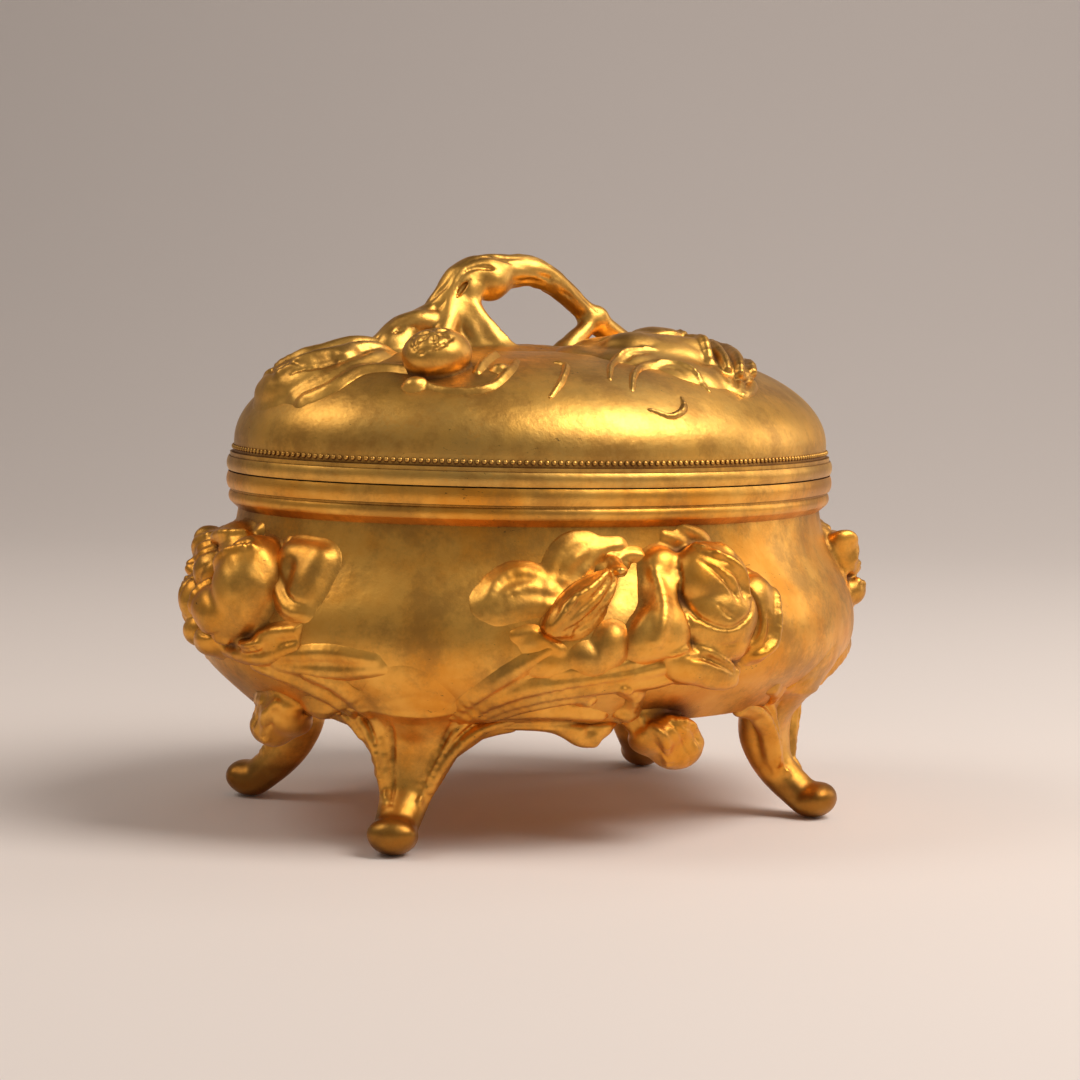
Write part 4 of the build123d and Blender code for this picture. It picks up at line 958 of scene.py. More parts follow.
def lid_leaves():
    """The smooth cluster of leaves at the lid's left, which runs up into the handle's root."""
    clay = Clay((-74, -36, 78), (-28, 22, 110), dome, TOP)
    clay.dab((-51.5, -2.6), -2.0, (11.5, 8.4, 4.4), turn=14)
    clay.dab((-58.0, -1.8), -0.4, (7.8, 7.8, 4.2), turn=10, blend=1.8)
    clay.dab((-62.2, 0.8), -0.2, (4.2, 6.2, 3.5), turn=6, blend=1.8)
    clay.dab((-45.0, -2.4), -2.2, (7.0, 5.6, 4.0), turn=20, blend=1.8)
    clay.dab((-50.0, 6.6), -1.4, (7.6, 5.4, 3.2), turn=-20, blend=1.4)
    # Lobes that run down from the root, with the hollow of the end one
    clay.stroke([(-40.6, -2.6, 1.6), (-47.6, -0.6, 1.9), (-55.0, 1.4, 1.7), (-62.4, 4.4, 0.9)], 0.1, 1.4)
    clay.stroke([
        (-41.4, -5.6, 1.5), (-48.6, -6.0, 1.8), (-56.0, -5.6, 1.6), (-63.4, -3.4, 0.9),
    ], 0.1, 1.4)
    clay.stroke([
        (-43.0, -8.4, 1.0), (-49.6, -10.8, 1.4), (-56.6, -11.0, 1.2), (-62.0, -8.6, 0.7),
    ], 0.0, 1.2)
    clay.slit([(-43.4, -3.8, 0.3), (-50.0, -3.2, 0.8), (-57.6, -2.4, 0.8), (-63.0, 0.2, 0.4)])
    clay.slit([(-44.4, -7.6, 0.3), (-50.6, -8.8, 0.6), (-57.0, -8.8, 0.6), (-62.0, -6.2, 0.3)])
    clay.slit([(-60.0, -6.6, 0.4), (-62.6, -3.0, 0.9), (-63.6, 1.2, 0.9), (-61.6, 4.4, 0.4)], 0.4)
    for across, up, size in ((-53.6, 0.4, 2.0), (-50.0, -7.6, 1.8), (-56.8, -5.0, 1.7)):
        clay.dab((across, up), 2.0, (size * 1.3, size, size * 0.7), turn=15, blend=1.6)
    # Thin tendril at the cluster's foot
    clay.stroke([
        (-62.0, -11.6, 0.4), (-57.2, -14.6, 0.7), (-50.6, -13.8, 0.7), (-45.6, -16.4, 0.5),
        (-42.0, -20.6, 0.4),
    ], 0.1, 1.0)
    return clay.seat(2.8, 0.14).worked()


def rosehip():
    """The round hip beside the handle, with a rubbed crown of sepals and a tendril at its foot."""
    clay = Clay((-50, -42, 88), (-12, -6, 110), dome, TOP)
    clay.dab((-36.6, -21.6), 2.5, (7.6, 6.6, 5.3), turn=12)
    crown = np.array([-39.2, -24.4])

    def on_crown(angle, reach, radius):
        way = np.array([math.cos(angle), 0.8 * math.sin(angle)])
        return (*(crown + reach * way), radius)

    for turn in range(10, 370, 60):
        angle = math.radians(turn)
        sepal = [on_crown(angle, 0.8, 0.4), on_crown(angle, 2.4, 0.75), on_crown(angle, 4.2, 0.35)]
        clay.slit(sepal, 0.0, 0.2)
    clay.slit([on_crown(angle, 4.4, 0.45) for angle in np.linspace(0.4, 5.6, 9)], 0.1, 0.2)
    clay.dab((-44.2, -26.4), 0.4, (2.2, 2.0, 1.5))
    clay.stroke([
        (-42.6, -27.2, 0.5), (-38.4, -32.2, 0.7), (-31.6, -34.6, 0.7), (-25.2, -31.0, 0.6),
        (-20.4, -25.6, 0.4),
    ], 0.3)
    clay.dab((-26.0, -29.0), 0.2, (1.7, 1.5, 1.2))
    clay.stroke([(-31.0, -28.4, 0.5), (-27.4, -24.6, 0.8), (-22.6, -20.0, 0.9)], 0.2)
    return clay.seat(1.2, 0.08).worked()


def lid_rose():
    """The open rose of the lid: round lapped petals, a ribbed fan and thin curled rims before it."""
    clay = Clay((-26, -54, 78), (54, 14, 114), dome, TOP)
    clay.dab((19.0, -17.0), -1.0, (15.0, 12.0, 5.8), turn=-18)
    # Lapped petals, each with a dark line under its lip
    clay.dab((25.0, -3.6), -0.8, (9.0, 6.4, 3.8), turn=-16, blend=0.8)
    clay.dab((10.6, -8.6), -0.8, (8.0, 6.0, 3.8), turn=16, blend=0.8)
    clay.dab((32.0, -11.4), -0.6, (6.4, 7.0, 4.0), turn=-40, blend=0.7)
    clay.dab((12.6, -19.0), 0.8, (7.6, 6.0, 4.0), turn=-14, blend=0.5)
    clay.dab((21.6, -13.6), 2.4, (7.2, 6.0, 3.4), turn=-20, blend=0.4)
    clay.dab((23.6, -21.4), 1.6, (6.4, 5.0, 3.4), turn=-30, blend=0.4)
    clay.slit([(14.6, -12.4, 0.3), (19.0, -7.8, 0.7), (25.6, -7.6, 0.7), (30.0, -11.0, 0.3)])
    clay.slit([(15.4, -18.0, 0.3), (20.4, -18.6, 0.7), (26.0, -17.8, 0.6), (29.6, -15.4, 0.3)])
    clay.slit([(28.4, -9.6, 0.3), (30.6, -14.6, 0.6), (29.8, -19.8, 0.3)])
    clay.slit([(5.6, -14.0, 0.3), (10.6, -14.0, 0.6), (15.6, -13.0, 0.3)])
    # Curled petal seen edge-on: long ribs side by side that meet at its foot
    clay.dab((32.6, -20.0), -0.4, (7.6, 14.6, 3.6), turn=-16, blend=1.2)
    for rib in (
        [
            (35.6, -4.6, 0.6), (40.2, -8.4, 1.0), (41.4, -15.0, 1.1), (39.2, -22.6, 1.1),
            (35.6, -30.0, 1.1), (31.0, -36.0, 0.9), (27.4, -38.6, 0.6),
        ],
        [
            (31.8, -4.6, 0.6), (35.8, -8.6, 1.1), (37.0, -15.0, 1.2), (35.2, -22.4, 1.2),
            (32.2, -29.6, 1.1), (28.8, -35.6, 0.9), (26.6, -38.0, 0.5),
        ],
        [
            (29.8, -9.0, 0.5), (32.0, -14.4, 1.1), (31.0, -21.6, 1.2), (28.8, -28.8, 1.1),
            (26.6, -34.6, 0.8), (25.8, -37.2, 0.5),
        ],
        [
            (26.6, -14.6, 0.5), (27.2, -21.0, 1.1), (25.4, -28.0, 1.1), (24.2, -33.2, 0.8),
            (24.6, -36.0, 0.5),
        ],
    ):
        clay.stroke(rib, 0.3, 0.8)
    for groove in (
        [
            (34.0, -5.0, 0.25), (38.0, -9.2, 0.45), (39.2, -15.2, 0.5), (37.2, -22.6, 0.5),
            (34.0, -30.0, 0.45), (30.4, -35.2, 0.3),
        ],
        [
            (31.0, -7.4, 0.25), (34.2, -12.4, 0.45), (33.8, -19.4, 0.5), (31.4, -27.0, 0.45),
            (28.4, -33.4, 0.3),
        ],
        [(28.6, -12.0, 0.25), (29.6, -18.0, 0.5), (28.0, -25.4, 0.5), (25.8, -32.0, 0.3)],
    ):
        clay.slit(groove)
    # Low petals that fade into the dome before the rose
    clay.dab((8.6, -24.0), -1.6, (9.0, 7.0, 3.4), turn=-10, blend=1.8)
    clay.dab((18.6, -31.0), -2.0, (9.0, 7.4, 3.6), turn=-20, blend=1.8)
    clay.dab((1.0, -14.0), -2.0, (8.0, 6.4, 3.2), turn=40, blend=1.8)
    # Thin curled rims on the front slope
    for curl in (
        [
            (-5.2, -38.0, 0.3), (-1.0, -31.6, 0.6), (4.0, -27.0, 0.7), (10.0, -25.4, 0.6),
            (13.0, -26.0, 0.3),
        ],
        [
            (-2.2, -42.0, 0.3), (2.0, -36.0, 0.65), (7.0, -31.8, 0.7), (13.0, -30.8, 0.7),
            (16.6, -34.0, 0.6), (18.0, -40.0, 0.3),
        ],
        [(-0.9, -46.8, 0.25), (3.8, -47.9, 0.55), (7.9, -46.2, 0.55), (9.0, -43.4, 0.25)],
        [(-12.6, -28.4, 0.3), (-11.6, -31.2, 0.55), (-16.6, -37.8, 0.6), (-21.0, -41.2, 0.3)],
    ):
        clay.stroke(curl, 0.5, 0.5)
    for groove in (
        [(-3.8, -38.4, 0.3), (0.4, -32.4, 0.6), (5.0, -28.4, 0.6), (11.0, -27.0, 0.35)],
        [(0.2, -41.4, 0.3), (3.6, -36.8, 0.7), (8.2, -33.4, 0.8), (12.6, -32.8, 0.7), (15.2, -37.6, 0.3)],
        [(0.4, -45.6, 0.2), (4.2, -46.6, 0.4), (7.4, -45.0, 0.2)],
    ):
        clay.slit(groove)
    blend = 0.7 + 2.0 * clay.within((22, -15, 100), 17.0, 25.0)
    return clay.seat(blend, 0.08).worked()


def bark(clay, stations, count, depth, twist):
    """Broken grooves that run along a round branch."""
    path = curve(stations, places=3)
    along = np.gradient(path[:, :3], axis=0)
    along /= np.linalg.norm(along, axis=1, keepdims=True)
    side = np.cross(along, [0, 1, 0])
    side /= np.linalg.norm(side, axis=1, keepdims=True)
    other = np.cross(along, side)
    share = np.linspace(0, 1, len(path))
    for number in range(count):
        angle = (2 * math.pi * number / count + twist * share + 0.3 * np.sin(9 * share + number))[:, None]
        rim = path[:, :3] + (np.cos(angle) * side + np.sin(angle) * other) * path[:, 3:4]
        radii = depth * (0.55 + 0.45 * np.sin(14 * share + 2.3 * number))
        clay.carve(rim, np.maximum(radii, 0.05))


def handle():
    """The twig handle: a gnarled arch with a knot, two roots on the left and a fork on the right."""
    clay = Clay((-54, -18, 92), (32, 12, 124), dome, TOP)
    main = [
        (-41.4, -1.8, 98.4, 2.8),
        (-38.2, -1.6, 101.0, 3.5),
        (-34.4, -1.4, 103.8, 3.9),
        (-30.2, -1.2, 105.4, 3.8),
        (-26.4, -1.0, 107.6, 3.6),
        (-23.0, -0.4, 111.8, 3.6),
        (-19.6, 0.0, 115.4, 3.9),
        (-14.6, 0.0, 116.8, 4.4),
        (-9.6, 0.0, 117.4, 3.9),
        (-4.4, 0.0, 118.0, 3.5),
        (0.6, 0.0, 116.7, 3.1),
        (5.0, 0.0, 114.2, 2.7),
        (9.0, 0.0, 111.0, 2.4),
        (13.2, 0.2, 107.8, 2.5),
        (17.8, 0.8, 104.9, 2.8),
        (22.4, 1.4, 101.6, 3.2),
    ]
    clay.rod(main, 1.0)
    clay.rod([
        (-20.6, -1.0, 113.2, 2.7), (-19.0, -3.8, 109.6, 2.1), (-17.0, -6.6, 105.4, 2.0),
        (-14.6, -9.0, 101.2, 2.4),
    ], 1.8)
    clay.rod([(14.4, -0.4, 108.4, 2.1), (9.8, -1.8, 105.0, 2.0), (4.4, -3.6, 101.2, 2.4)], 1.8)
    # The hip's stalk and the web between the two roots
    clay.rod([(-22.6, -2.4, 110.4, 2.4), (-25.4, -4.6, 106.6, 2.3), (-28.4, -7.6, 102.6, 2.2)], 1.8)
    clay.rod([(-24.0, -1.6, 108.8, 2.6), (-24.4, -3.6, 104.8, 2.4), (-23.4, -5.6, 101.0, 2.4)], 1.8)
    clay.rod([(-36.0, 1.4, 101.8, 3.0), (-41.0, 0.8, 98.2, 3.0), (-46.0, 0.0, 95.2, 2.6)], 1.8)
    clay.rod([(-20.4, -2.6, 109.6, 2.4), (-20.0, -4.8, 105.4, 2.6), (-18.6, -6.6, 101.4, 2.6)], 1.8)
    # Knot and low burrs
    clay.egg((-13.6, -1.0, 115.4), np.eye(3), (4.6, 4.4, 4.4), 1.6)
    clay.egg((-18.8, -2.4, 113.4), np.eye(3), (2.8, 2.6, 3.0), 1.4)
    clay.egg((-31.0, -3.4, 106.4), np.eye(3), (3.4, 2.2, 2.4), 1.8)
    clay.egg((-37.0, -4.0, 101.6), np.eye(3), (3.6, 2.6, 2.4), 1.8)
    # Low leaf with its veins on the dome before the arch
    clay.dab((-8.0, -10.0), -2.5, (12.0, 5.0, 3.0), turn=-6, blend=1.6)
    for across in range(-16, 4, 4):
        clay.stroke([
            (across, -7.4, 0.3), (across + 3.0, -10.6, 0.6), (across + 7.0, -12.6, 0.3),
        ], -0.1, 0.8)
    bark(clay, main[4:11], 9, 0.55, 1.6)
    bark(clay, main[:5], 6, 0.4, 0.6)
    bark(clay, main[10:], 6, 0.35, 0.4)
    return clay.seat(2.6, 0.14).worked()


# Edgings cut in the metal

# Steps round an oval along which its length is measured
ROUND_STEPS = 2880


def oval_path(swell, height, pitch):
    """Evenly spaced points on an oval about the rim, with their outward directions."""
    angle = np.linspace(0, 2 * math.pi, ROUND_STEPS + 1)
    reach = 2 * RIM_HALF_LENGTH
    far = np.stack([reach * np.cos(angle), reach * np.sin(angle), 0 * angle], -1)
    points = settle(plan_swell, far, swell)
    steps = np.linalg.norm(np.diff(points, axis=0), axis=1)
    length = np.concatenate([[0], np.cumsum(steps)])
    count = round(length[-1] / pitch)
    wanted = np.arange(count) * length[-1] / count
    path = np.stack([np.interp(wanted, length, points[:, axis]) for axis in range(3)], -1)
    path[:, 2] = height
    return path, normal(plan_swell, path)


def closed(piece, gap, outwards=True):
    """Welds the points of a piece that lie within a gap, and turns its faces one way."""
    work = bmesh.new()
    work.from_mesh(piece.data)
    bmesh.ops.remove_doubles(work, verts=work.verts, dist=gap * MM)
    if outwards:
        bmesh.ops.recalc_face_normals(work, faces=work.faces)
    work.to_mesh(piece.data)
    work.free()


def stud_row(name, body, slot, material, swell, height, pitch, radii, rings=6, sides=8):
    """Small eggs all round the rim as one piece, with radii along the rim, out of it and up."""
    path, out = oval_path(swell, height, pitch)
    along = np.cross([0, 0, 1], out)
    points, faces = [], []
    ball = []
    for fall in np.linspace(0, math.pi, rings + 1):
        for turn in np.arange(sides) * 2 * math.pi / sides:
            ball.append((math.sin(fall) * math.cos(turn), math.sin(fall) * math.sin(turn), math.cos(fall)))
    ball = np.array(ball) * radii
    for number, (spot, facing, beside) in enumerate(zip(path, out, along)):
        points.append(spot + ball @ np.array([beside, facing, [0, 0, 1]]))
        for ring in range(rings):
            here = number * len(ball) + ring * sides
            for side in range(sides):
                beyond = (side + 1) % sides
                faces.append((here + side, here + sides + side, here + sides + beyond, here + beyond))
    piece = make_object(name, np.vstack(points), np.array(faces), material)
    closed(piece, 0.001, outwards=False)
    return add_piece(piece, body, slot)


body_gilt = gilding("gilt_castings")
lid_gilt = gilding("gilt_lid_castings", lid=True)
leg_gilt = gilding("gilt_legs", toe=True)
shell_gilt = gilding("gilt_bowl", formed=False)
cover_gilt = gilding("gilt_cover", lid=True, formed=False)

SPRAY = {
    "leaves": leaves,
    "bud": bud,
    "lower_petal": lower_petals,
    "rose": rose,
    "stem": stem,
    "scroll": apron_scroll,
    "pendant": lambda: pendant(3.4, FRONT, (-14, -60, 8), (26, -34, 38), rise=0.8, grow=1.14),
}
for form, model in SPRAY.items():
    skin = model()
    cast(skin, form + "_front", "casket", body_gilt, "gilt_body")
    cast(skin, form + "_rear", "casket", body_gilt, "gilt_body", (-1, -1))

ENDS = {
    "rose": end_rose,
    "petal": end_petal,
    "pendant": lambda: pendant(8.6, LEFT_END, (-84, -26, 12), (-50, 10, 40), -1, rise=2.8),
}
for form, model in ENDS.items():
    skin = model()
    cast(skin, form + "_left", "casket", body_gilt, "gilt_body")
    cast(skin, form + "_right", "casket", body_gilt, "gilt_body", (-1, -1))

skin = leg()
for end_name, across in (("left", 1), ("right", -1)):
    for side_name, along in (("front", 1), ("rear", -1)):
        cast(skin, f"leg_{side_name}_{end_name}", "casket", leg_gilt, "gilt_body", (across, along))

cast(lid_leaves(), "leaves_lid", "lid", lid_gilt, "gilt_lid")
cast(rosehip(), "rosehip", "lid", lid_gilt, "gilt_lid")
cast(lid_rose(), "rose_lid", "lid", lid_gilt, "gilt_lid")
cast(handle(), "handle_branch", "lid", lid_gilt, "gilt_lid")

for node, material in (
    ("bowl_shell", shell_gilt),
    ("floor_plate", shell_gilt),
    ("hinge_leaf_body", shell_gilt),
    ("lid_shell", cover_gilt),
    ("hinge_leaf_lid", cover_gilt),
):
    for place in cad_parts[node].material_slots:
        place.material = material

stud_row(
    "bead_row", "lid", "gilt_lid", cover_gilt,
    swell=-1.42, height=79.35, pitch=1.4, radii=(0.56, 0.45, 0.52),
)
stud_row(
    "milled_row", "casket", "gilt_body", shell_gilt,
    swell=-1.15, height=69.6, pitch=1.15, radii=(0.36, 0.36, 1.15),
)

# Satin, cord and card inside, in millimetres

# Cloth: spacing of its points round the oval, thickness, and where each lining lies
CLOTH_PITCH = 0.62
CLOTH_THICKNESS = 0.14
WALL_CLOTH_SWELL = -5.2
LID_CLOTH_INSET = 2.05
LID_CLOTH_DROP = 0.25
LID_CLOTH_FOOT = 75.7
CROWN_DEGREES = 88.5

# Floor cushion: spacing of its points, voxel of its remeshing, and how far it may swell
CUSHION_PITCH = 1.3
CUSHION_VOXEL = 1.1
CUSHION_PUFF = 0.12
CUSHION_PRESSURE = 4.0
SETTLING_FRAMES = 20

# Cord trims: length of a turn, spacing of the points, half sizes of the lay and of a strand
CORD_PITCH = 2.6
CORD_SPACING = 0.26
LAY_HALF_DEPTH = 0.20
LAY_HALF_HEIGHT = 0.46
STRAND_HALF_WIDTH = 0.40
STRAND_HALF_DEPTH = 0.25
WALL_TRIM_SWELL = -6.55
WALL_TRIM_HEIGHT = 71.5
LID_TRIM_INSET = 0.45


def cloth_round(stations, pitch, fold, centred=False):
    """A closed strip of cloth round the casket through stations (swell, height), folded on its inside.

    Where it is centred, the strip goes on inwards until it closes over the middle."""
    rim, out = oval_path(0.0, 0.0, pitch)
    turn = np.linspace(0, 2 * math.pi, len(rim), endpoint=False)
    rows = curve(stations, spacing=0.8)
    slopes = np.gradient(rows, axis=0)
    inward = np.stack([slopes[:, 1], -slopes[:, 0]], -1) * (-1 if centred else 1)
    inward /= np.linalg.norm(inward, axis=1, keepdims=True)
    down = np.linspace(0, 1, len(rows))
    levels = []
    for (swell, height), (aside, lowered), share in zip(rows, inward, down):
        level = rim + out * swell
        step = np.linalg.norm(np.roll(level, -1, axis=0) - np.roll(level, 1, axis=0), axis=1) / 2
        depth = fold(turn, share) * np.clip(1.5 * step / pitch, 0.05, 1)
        level = level + out * (aside * depth)[:, None]
        level[:, 2] = height + lowered * depth
        levels.append(level)
    if centred:
        last = levels[-1]
        for share in np.linspace(0.9, 0.0, 14):
            level = last * [share, share, 1]
            level[:, 2] = last[:, 2].mean() + (last[:, 2] - last[:, 2].mean()) * share
            levels.append(level)
    count = len(rim)
    number = np.arange(count)
    faces = []
    for row in range(len(levels) - 1):
        here, below = row * count, (row + 1) * count
        after = (number + 1) % count
        faces.append(np.stack([here + number, below + number, below + after, here + after], 1))
    return np.vstack(levels), np.vstack(faces)


def soft_piece(name, points, faces, material, body, slot, node, thick=0.0):
    """A soft piece that stands for a node, with the seams of its mesh closed."""
    piece = make_object(name, points, faces, material)
    closed(piece, 0.002)
    if thick:
        solid = piece.modifiers.new("thickness", "SOLIDIFY")
        solid.thickness = thick * MM
        solid.offset = 0.0
    return add_piece(piece, body, slot, node)


def satin(name):
    """Old ivory satin: fine close weave, a soft sheen and faint yellow age marks."""
    finish = Finish(name, sheen_weight=0.35, sheen_roughness=0.35)
    age = finish.noise(28.0, 4.0, 0.55)
    weave = finish.noise(0.30, 2.0, 0.6, (3.2, 3.2, 0.7))
    thread = finish.noise(0.16, 1.0, 0.5, (1.0, 1.0, 5.0))
    colour = finish.mixed(age.between(0.42, 0.72) * 0.6, (0.80, 0.70, 0.54), (0.66, 0.52, 0.34))
    colour = finish.mixed(weave.between(0.35, 0.7) * 0.18, colour, (0.90, 0.83, 0.70))
    rough = 0.34 + weave * 0.16 + age * 0.06
    grain = finish.dented(thread, 0.035, 0.4)
    creased = finish.dented(finish.noise(3.4, 3.0, 0.5), 0.35, 0.35, grain)
    return finish.done(base_color=colour, roughness=rough, normal=creased)


def silk_cord(name):
    """Twisted silk: strands of straw and gold brown, with a fine thread."""
    finish = Finish(name, sheen_weight=0.3)
    tone = finish.noise(2.2, 3.0, 0.5)
    thread = finish.noise(0.14, 2.0, 0.6)
    colour = finish.mixed(tone.between(0.35, 0.7), (0.62, 0.46, 0.22), (0.44, 0.28, 0.11))
    colour = finish.mixed(thread.between(0.4, 0.7) * 0.35, colour, (0.80, 0.66, 0.40))
    weave = finish.dented(thread, 0.05, 0.5)
    return finish.done(base_color=colour, roughness=0.42 + thread * 0.3, normal=weave)


def wall_folds(turn, share):
    """Close upright gathers of uneven fullness."""
    wander = 1.5 * np.sin(3 * turn + 1.0) + 0.9 * np.sin(7 * turn + 0.4)
    wander = wander + 0.5 * np.sin(13 * turn + 5 * share)
    full = 0.55 + 0.30 * np.sin(11 * turn + 2.0 * share) + 0.15 * np.sin(29 * turn)
    return 0.82 * full * np.abs(np.sin(47 * turn + wander)) ** 0.75


def lid_folds(turn, share):
    """Soft gathers that run from the rim to the crown, deepest half way up."""
    wander = 1.3 * np.sin(3 * turn + 0.3) + 0.8 * np.sin(5 * turn + 1.7)
    wander = wander + 0.5 * np.sin(9 * turn + 4 * share)
    full = 0.60 + 0.25 * np.sin(8 * turn + 3.0 * share) + 0.15 * np.sin(21 * turn)
    swell = 0.45 + 0.75 * np.sin(math.pi * np.minimum(share + 0.1, 1))
    return 0.80 * full * swell * np.abs(np.sin(32 * turn + wander)) ** 0.75


def cushion_folds(turn, share):
    """Small tucks round the cushion's edge."""
    return 0.12 * np.sin(60 * turn + 9 * share) * math.exp(-((share - 0.52) / 0.16) ** 2)


def twisted(swell, height, name, body, node, strands=3, sides=8):
    """A flat twisted cord sewn round the oval: strands wound about a line at a swell and height."""
    path, out = oval_path(swell, height, CORD_SPACING)
    turns = round(len(path) * CORD_SPACING / CORD_PITCH)
    wind = np.linspace(0, 2 * math.pi * turns, len(path), endpoint=False)
    points, faces = [], []
    for strand in range(strands):
        angle = (wind + 2 * math.pi * strand / strands)[:, None]
        line = path + out * LAY_HALF_DEPTH * np.cos(angle)
        line = line + np.array([0, 0, LAY_HALF_HEIGHT]) * np.sin(angle)
        along = np.roll(line, -1, axis=0) - np.roll(line, 1, axis=0)
        along /= np.linalg.norm(along, axis=1, keepdims=True)
        across = np.cross(along, out)
        across /= np.linalg.norm(across, axis=1, keepdims=True)
        lifted = np.cross(across, along)
        start = strand * len(path) * sides
        turn = np.arange(sides) * 2 * math.pi / sides
        wide = across[:, None] * np.cos(turn)[:, None] * STRAND_HALF_WIDTH
        deep = lifted[:, None] * np.sin(turn)[:, None] * STRAND_HALF_DEPTH
        points.append((line[:, None] + (wide + deep)).reshape(-1, 3))
        number = np.arange(len(path))
        after = (number + 1) % len(path)
        for side in range(sides):
            beyond = (side + 1) % sides
            here, ahead = number * sides, after * sides
            faces.append(start + np.stack([here + side, ahead + side, ahead + beyond, here + beyond], 1))
    return soft_piece(name, np.vstack(points), np.vstack(faces), silk_cord(name), body, "cord_trim", node)


def puffed(piece, pressure, cap):
    """Cloth simulation: the piece swells from its own shape, and no point moves further than the cap."""
    start = np.array([vertex.co for vertex in piece.data.vertices])
    cloth = piece.modifiers.new("cloth", "CLOTH")
    cloth.settings.use_pressure = True
    cloth.settings.uniform_pressure_force = pressure
    cloth.settings.effector_weights.gravity = 0
    cloth.point_cache.frame_start = 1
    cloth.point_cache.frame_end = SETTLING_FRAMES
    for number in range(1, SETTLING_FRAMES + 1):
        bpy.context.scene.frame_set(number)
    shown = piece.evaluated_get(bpy.context.evaluated_depsgraph_get())
    moved = np.array([vertex.co for vertex in shown.data.vertices]) - start
    length = np.linalg.norm(moved, axis=1, keepdims=True)
    moved *= np.minimum(cap * MM / np.maximum(length, 1e-9), 1)
    piece.modifiers.remove(cloth)
    bpy.context.scene.frame_set(1)
    piece.data.vertices.foreach_set("co", (start + moved).ravel())
    piece.data.update()


ivory = satin("ivory_satin")
lining_low, lining_high = (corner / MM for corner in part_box("wall_lining"))
stations = [(WALL_CLOTH_SWELL + 0.05, lining_high.z - 0.1)]
for height in (60.0, 45.0, lining_low.z + 0.1):
    stations.append((WALL_CLOTH_SWELL, height))
points, faces = cloth_round(stations, CLOTH_PITCH, wall_folds)
wall_satin = soft_piece(
    "wall_satin", points, faces, ivory, "casket", "satin", "wall_lining", CLOTH_THICKNESS,
)

lid_half = END_RADIUS - DOME_SETBACK - LID_CLOTH_INSET
lid_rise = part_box("lid_lining")[1].z / MM - DOME_FOOT - LID_CLOTH_DROP
stations = [(lid_half - END_RADIUS, LID_CLOTH_FOOT), (lid_half - END_RADIUS, DOME_FOOT)]
for step in range(1, 13):
    angle = math.radians(CROWN_DEGREES * step / 12)
    stations.append((lid_half * math.cos(angle) - END_RADIUS, DOME_FOOT + lid_rise * math.sin(angle)))
points, faces = cloth_round(stations, CLOTH_PITCH, lid_folds, centred=True)
lid_satin = soft_piece("lid_satin", points, faces, ivory, "lid", "satin", "lid_lining", CLOTH_THICKNESS)

pad_low, pad_high = (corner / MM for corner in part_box("floor_pad"))
pad_edge = pad_high.x - RIM_HALF_LENGTH
pad_middle = -END_RADIUS + 0.6
stations = [(pad_middle, pad_low.z + 0.1)]
for inset, rise in ((3.0, 0.1), (0.8, 0.3), (0.15, 0.9), (1.2, 1.6), (6.0, 2.3), (14.0, 2.9)):
    stations.append((pad_edge - inset, pad_low.z + rise))
stations.append((pad_middle, pad_high.z - 0.15))
points, faces = cloth_round(stations, CUSHION_PITCH, cushion_folds)
pad = make_object("floor_cushion", points, faces, ivory)
work = bmesh.new()
work.from_mesh(pad.data)
bmesh.ops.holes_fill(work, edges=[edge for edge in work.edges if edge.is_boundary])
bmesh.ops.triangulate(work, faces=[face for face in work.faces if len(face.verts) > 4])
bmesh.ops.remove_doubles(work, verts=work.verts, dist=0.05 * MM)
bmesh.ops.recalc_face_normals(work, faces=work.faces)
work.to_mesh(pad.data)
work.free()
remesh = pad.modifiers.new("remesh", "REMESH")
remesh.mode = "VOXEL"
remesh.voxel_size = CUSHION_VOXEL * MM
meshed = bpy.data.meshes.new_from_object(pad.evaluated_get(bpy.context.evaluated_depsgraph_get()))
pad.modifiers.clear()
pad.data = meshed
puffed(pad, CUSHION_PRESSURE, CUSHION_PUFF)
round_off = pad.modifiers.new("smooth", "SUBSURF")
round_off.levels = 1
round_off.render_levels = 1
pad.data.polygons.foreach_set("use_smooth", [True] * len(pad.data.polygons))
add_piece(pad, "casket", "satin", "floor_pad")

twisted(WALL_TRIM_SWELL, WALL_TRIM_HEIGHT, "wall_cord", "casket", "lining_trim")
trim_low, trim_high = (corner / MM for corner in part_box("lid_trim"))
lid_trim_swell = trim_high.x - RIM_HALF_LENGTH - LID_TRIM_INSET
twisted(lid_trim_swell, (trim_low.z + trim_high.z) / 2, "lid_cord", "lid", "lid_trim")


def pasteboard(name):
    """Plain grey-brown pasteboard with fibres."""
    finish = Finish(name)
    fibre = finish.noise(0.5, 4.0, 0.7, (1, 0.4, 1))
    colour = finish.mixed(fibre.between(0.3, 0.7), (0.38, 0.30, 0.20), (0.52, 0.44, 0.32))
    pulp = finish.dented(fibre, 0.05, 0.4)
    return finish.done(base_color=colour, roughness=0.8 + fibre * 0.15, normal=pulp)


def drawn_wire(name):
    """Plain steel wire with fine scratches along it."""
    finish = Finish(name, metallic=1.0)
    scratch = finish.noise(0.4, 3.0, 0.6, (0.05, 1, 1))
    colour = finish.mixed(scratch.between(0.3, 0.7), (0.42, 0.40, 0.37), (0.56, 0.54, 0.50))
    marks = finish.dented(scratch, 0.02, 0.3)
    return finish.done(base_color=colour, roughness=0.30 + scratch * 0.2, normal=marks)


for node, material in (("floor_card", pasteboard("pasteboard")), ("hinge_pin", drawn_wire("drawn_wire"))):
    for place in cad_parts[node].material_slots:
        place.material = material


# Floor, backdrop, lamps and camera


def staged(name, colour):
    """Matt card whose colour wanders a little."""
    finish = Finish(name, roughness=0.8)
    tone = finish.noise(180.0, 2.0, 0.5)
    paint = finish.mixed(tone * 0.10, colour, tuple(0.9 * part for part in colour))
    return finish.done(base_color=paint)


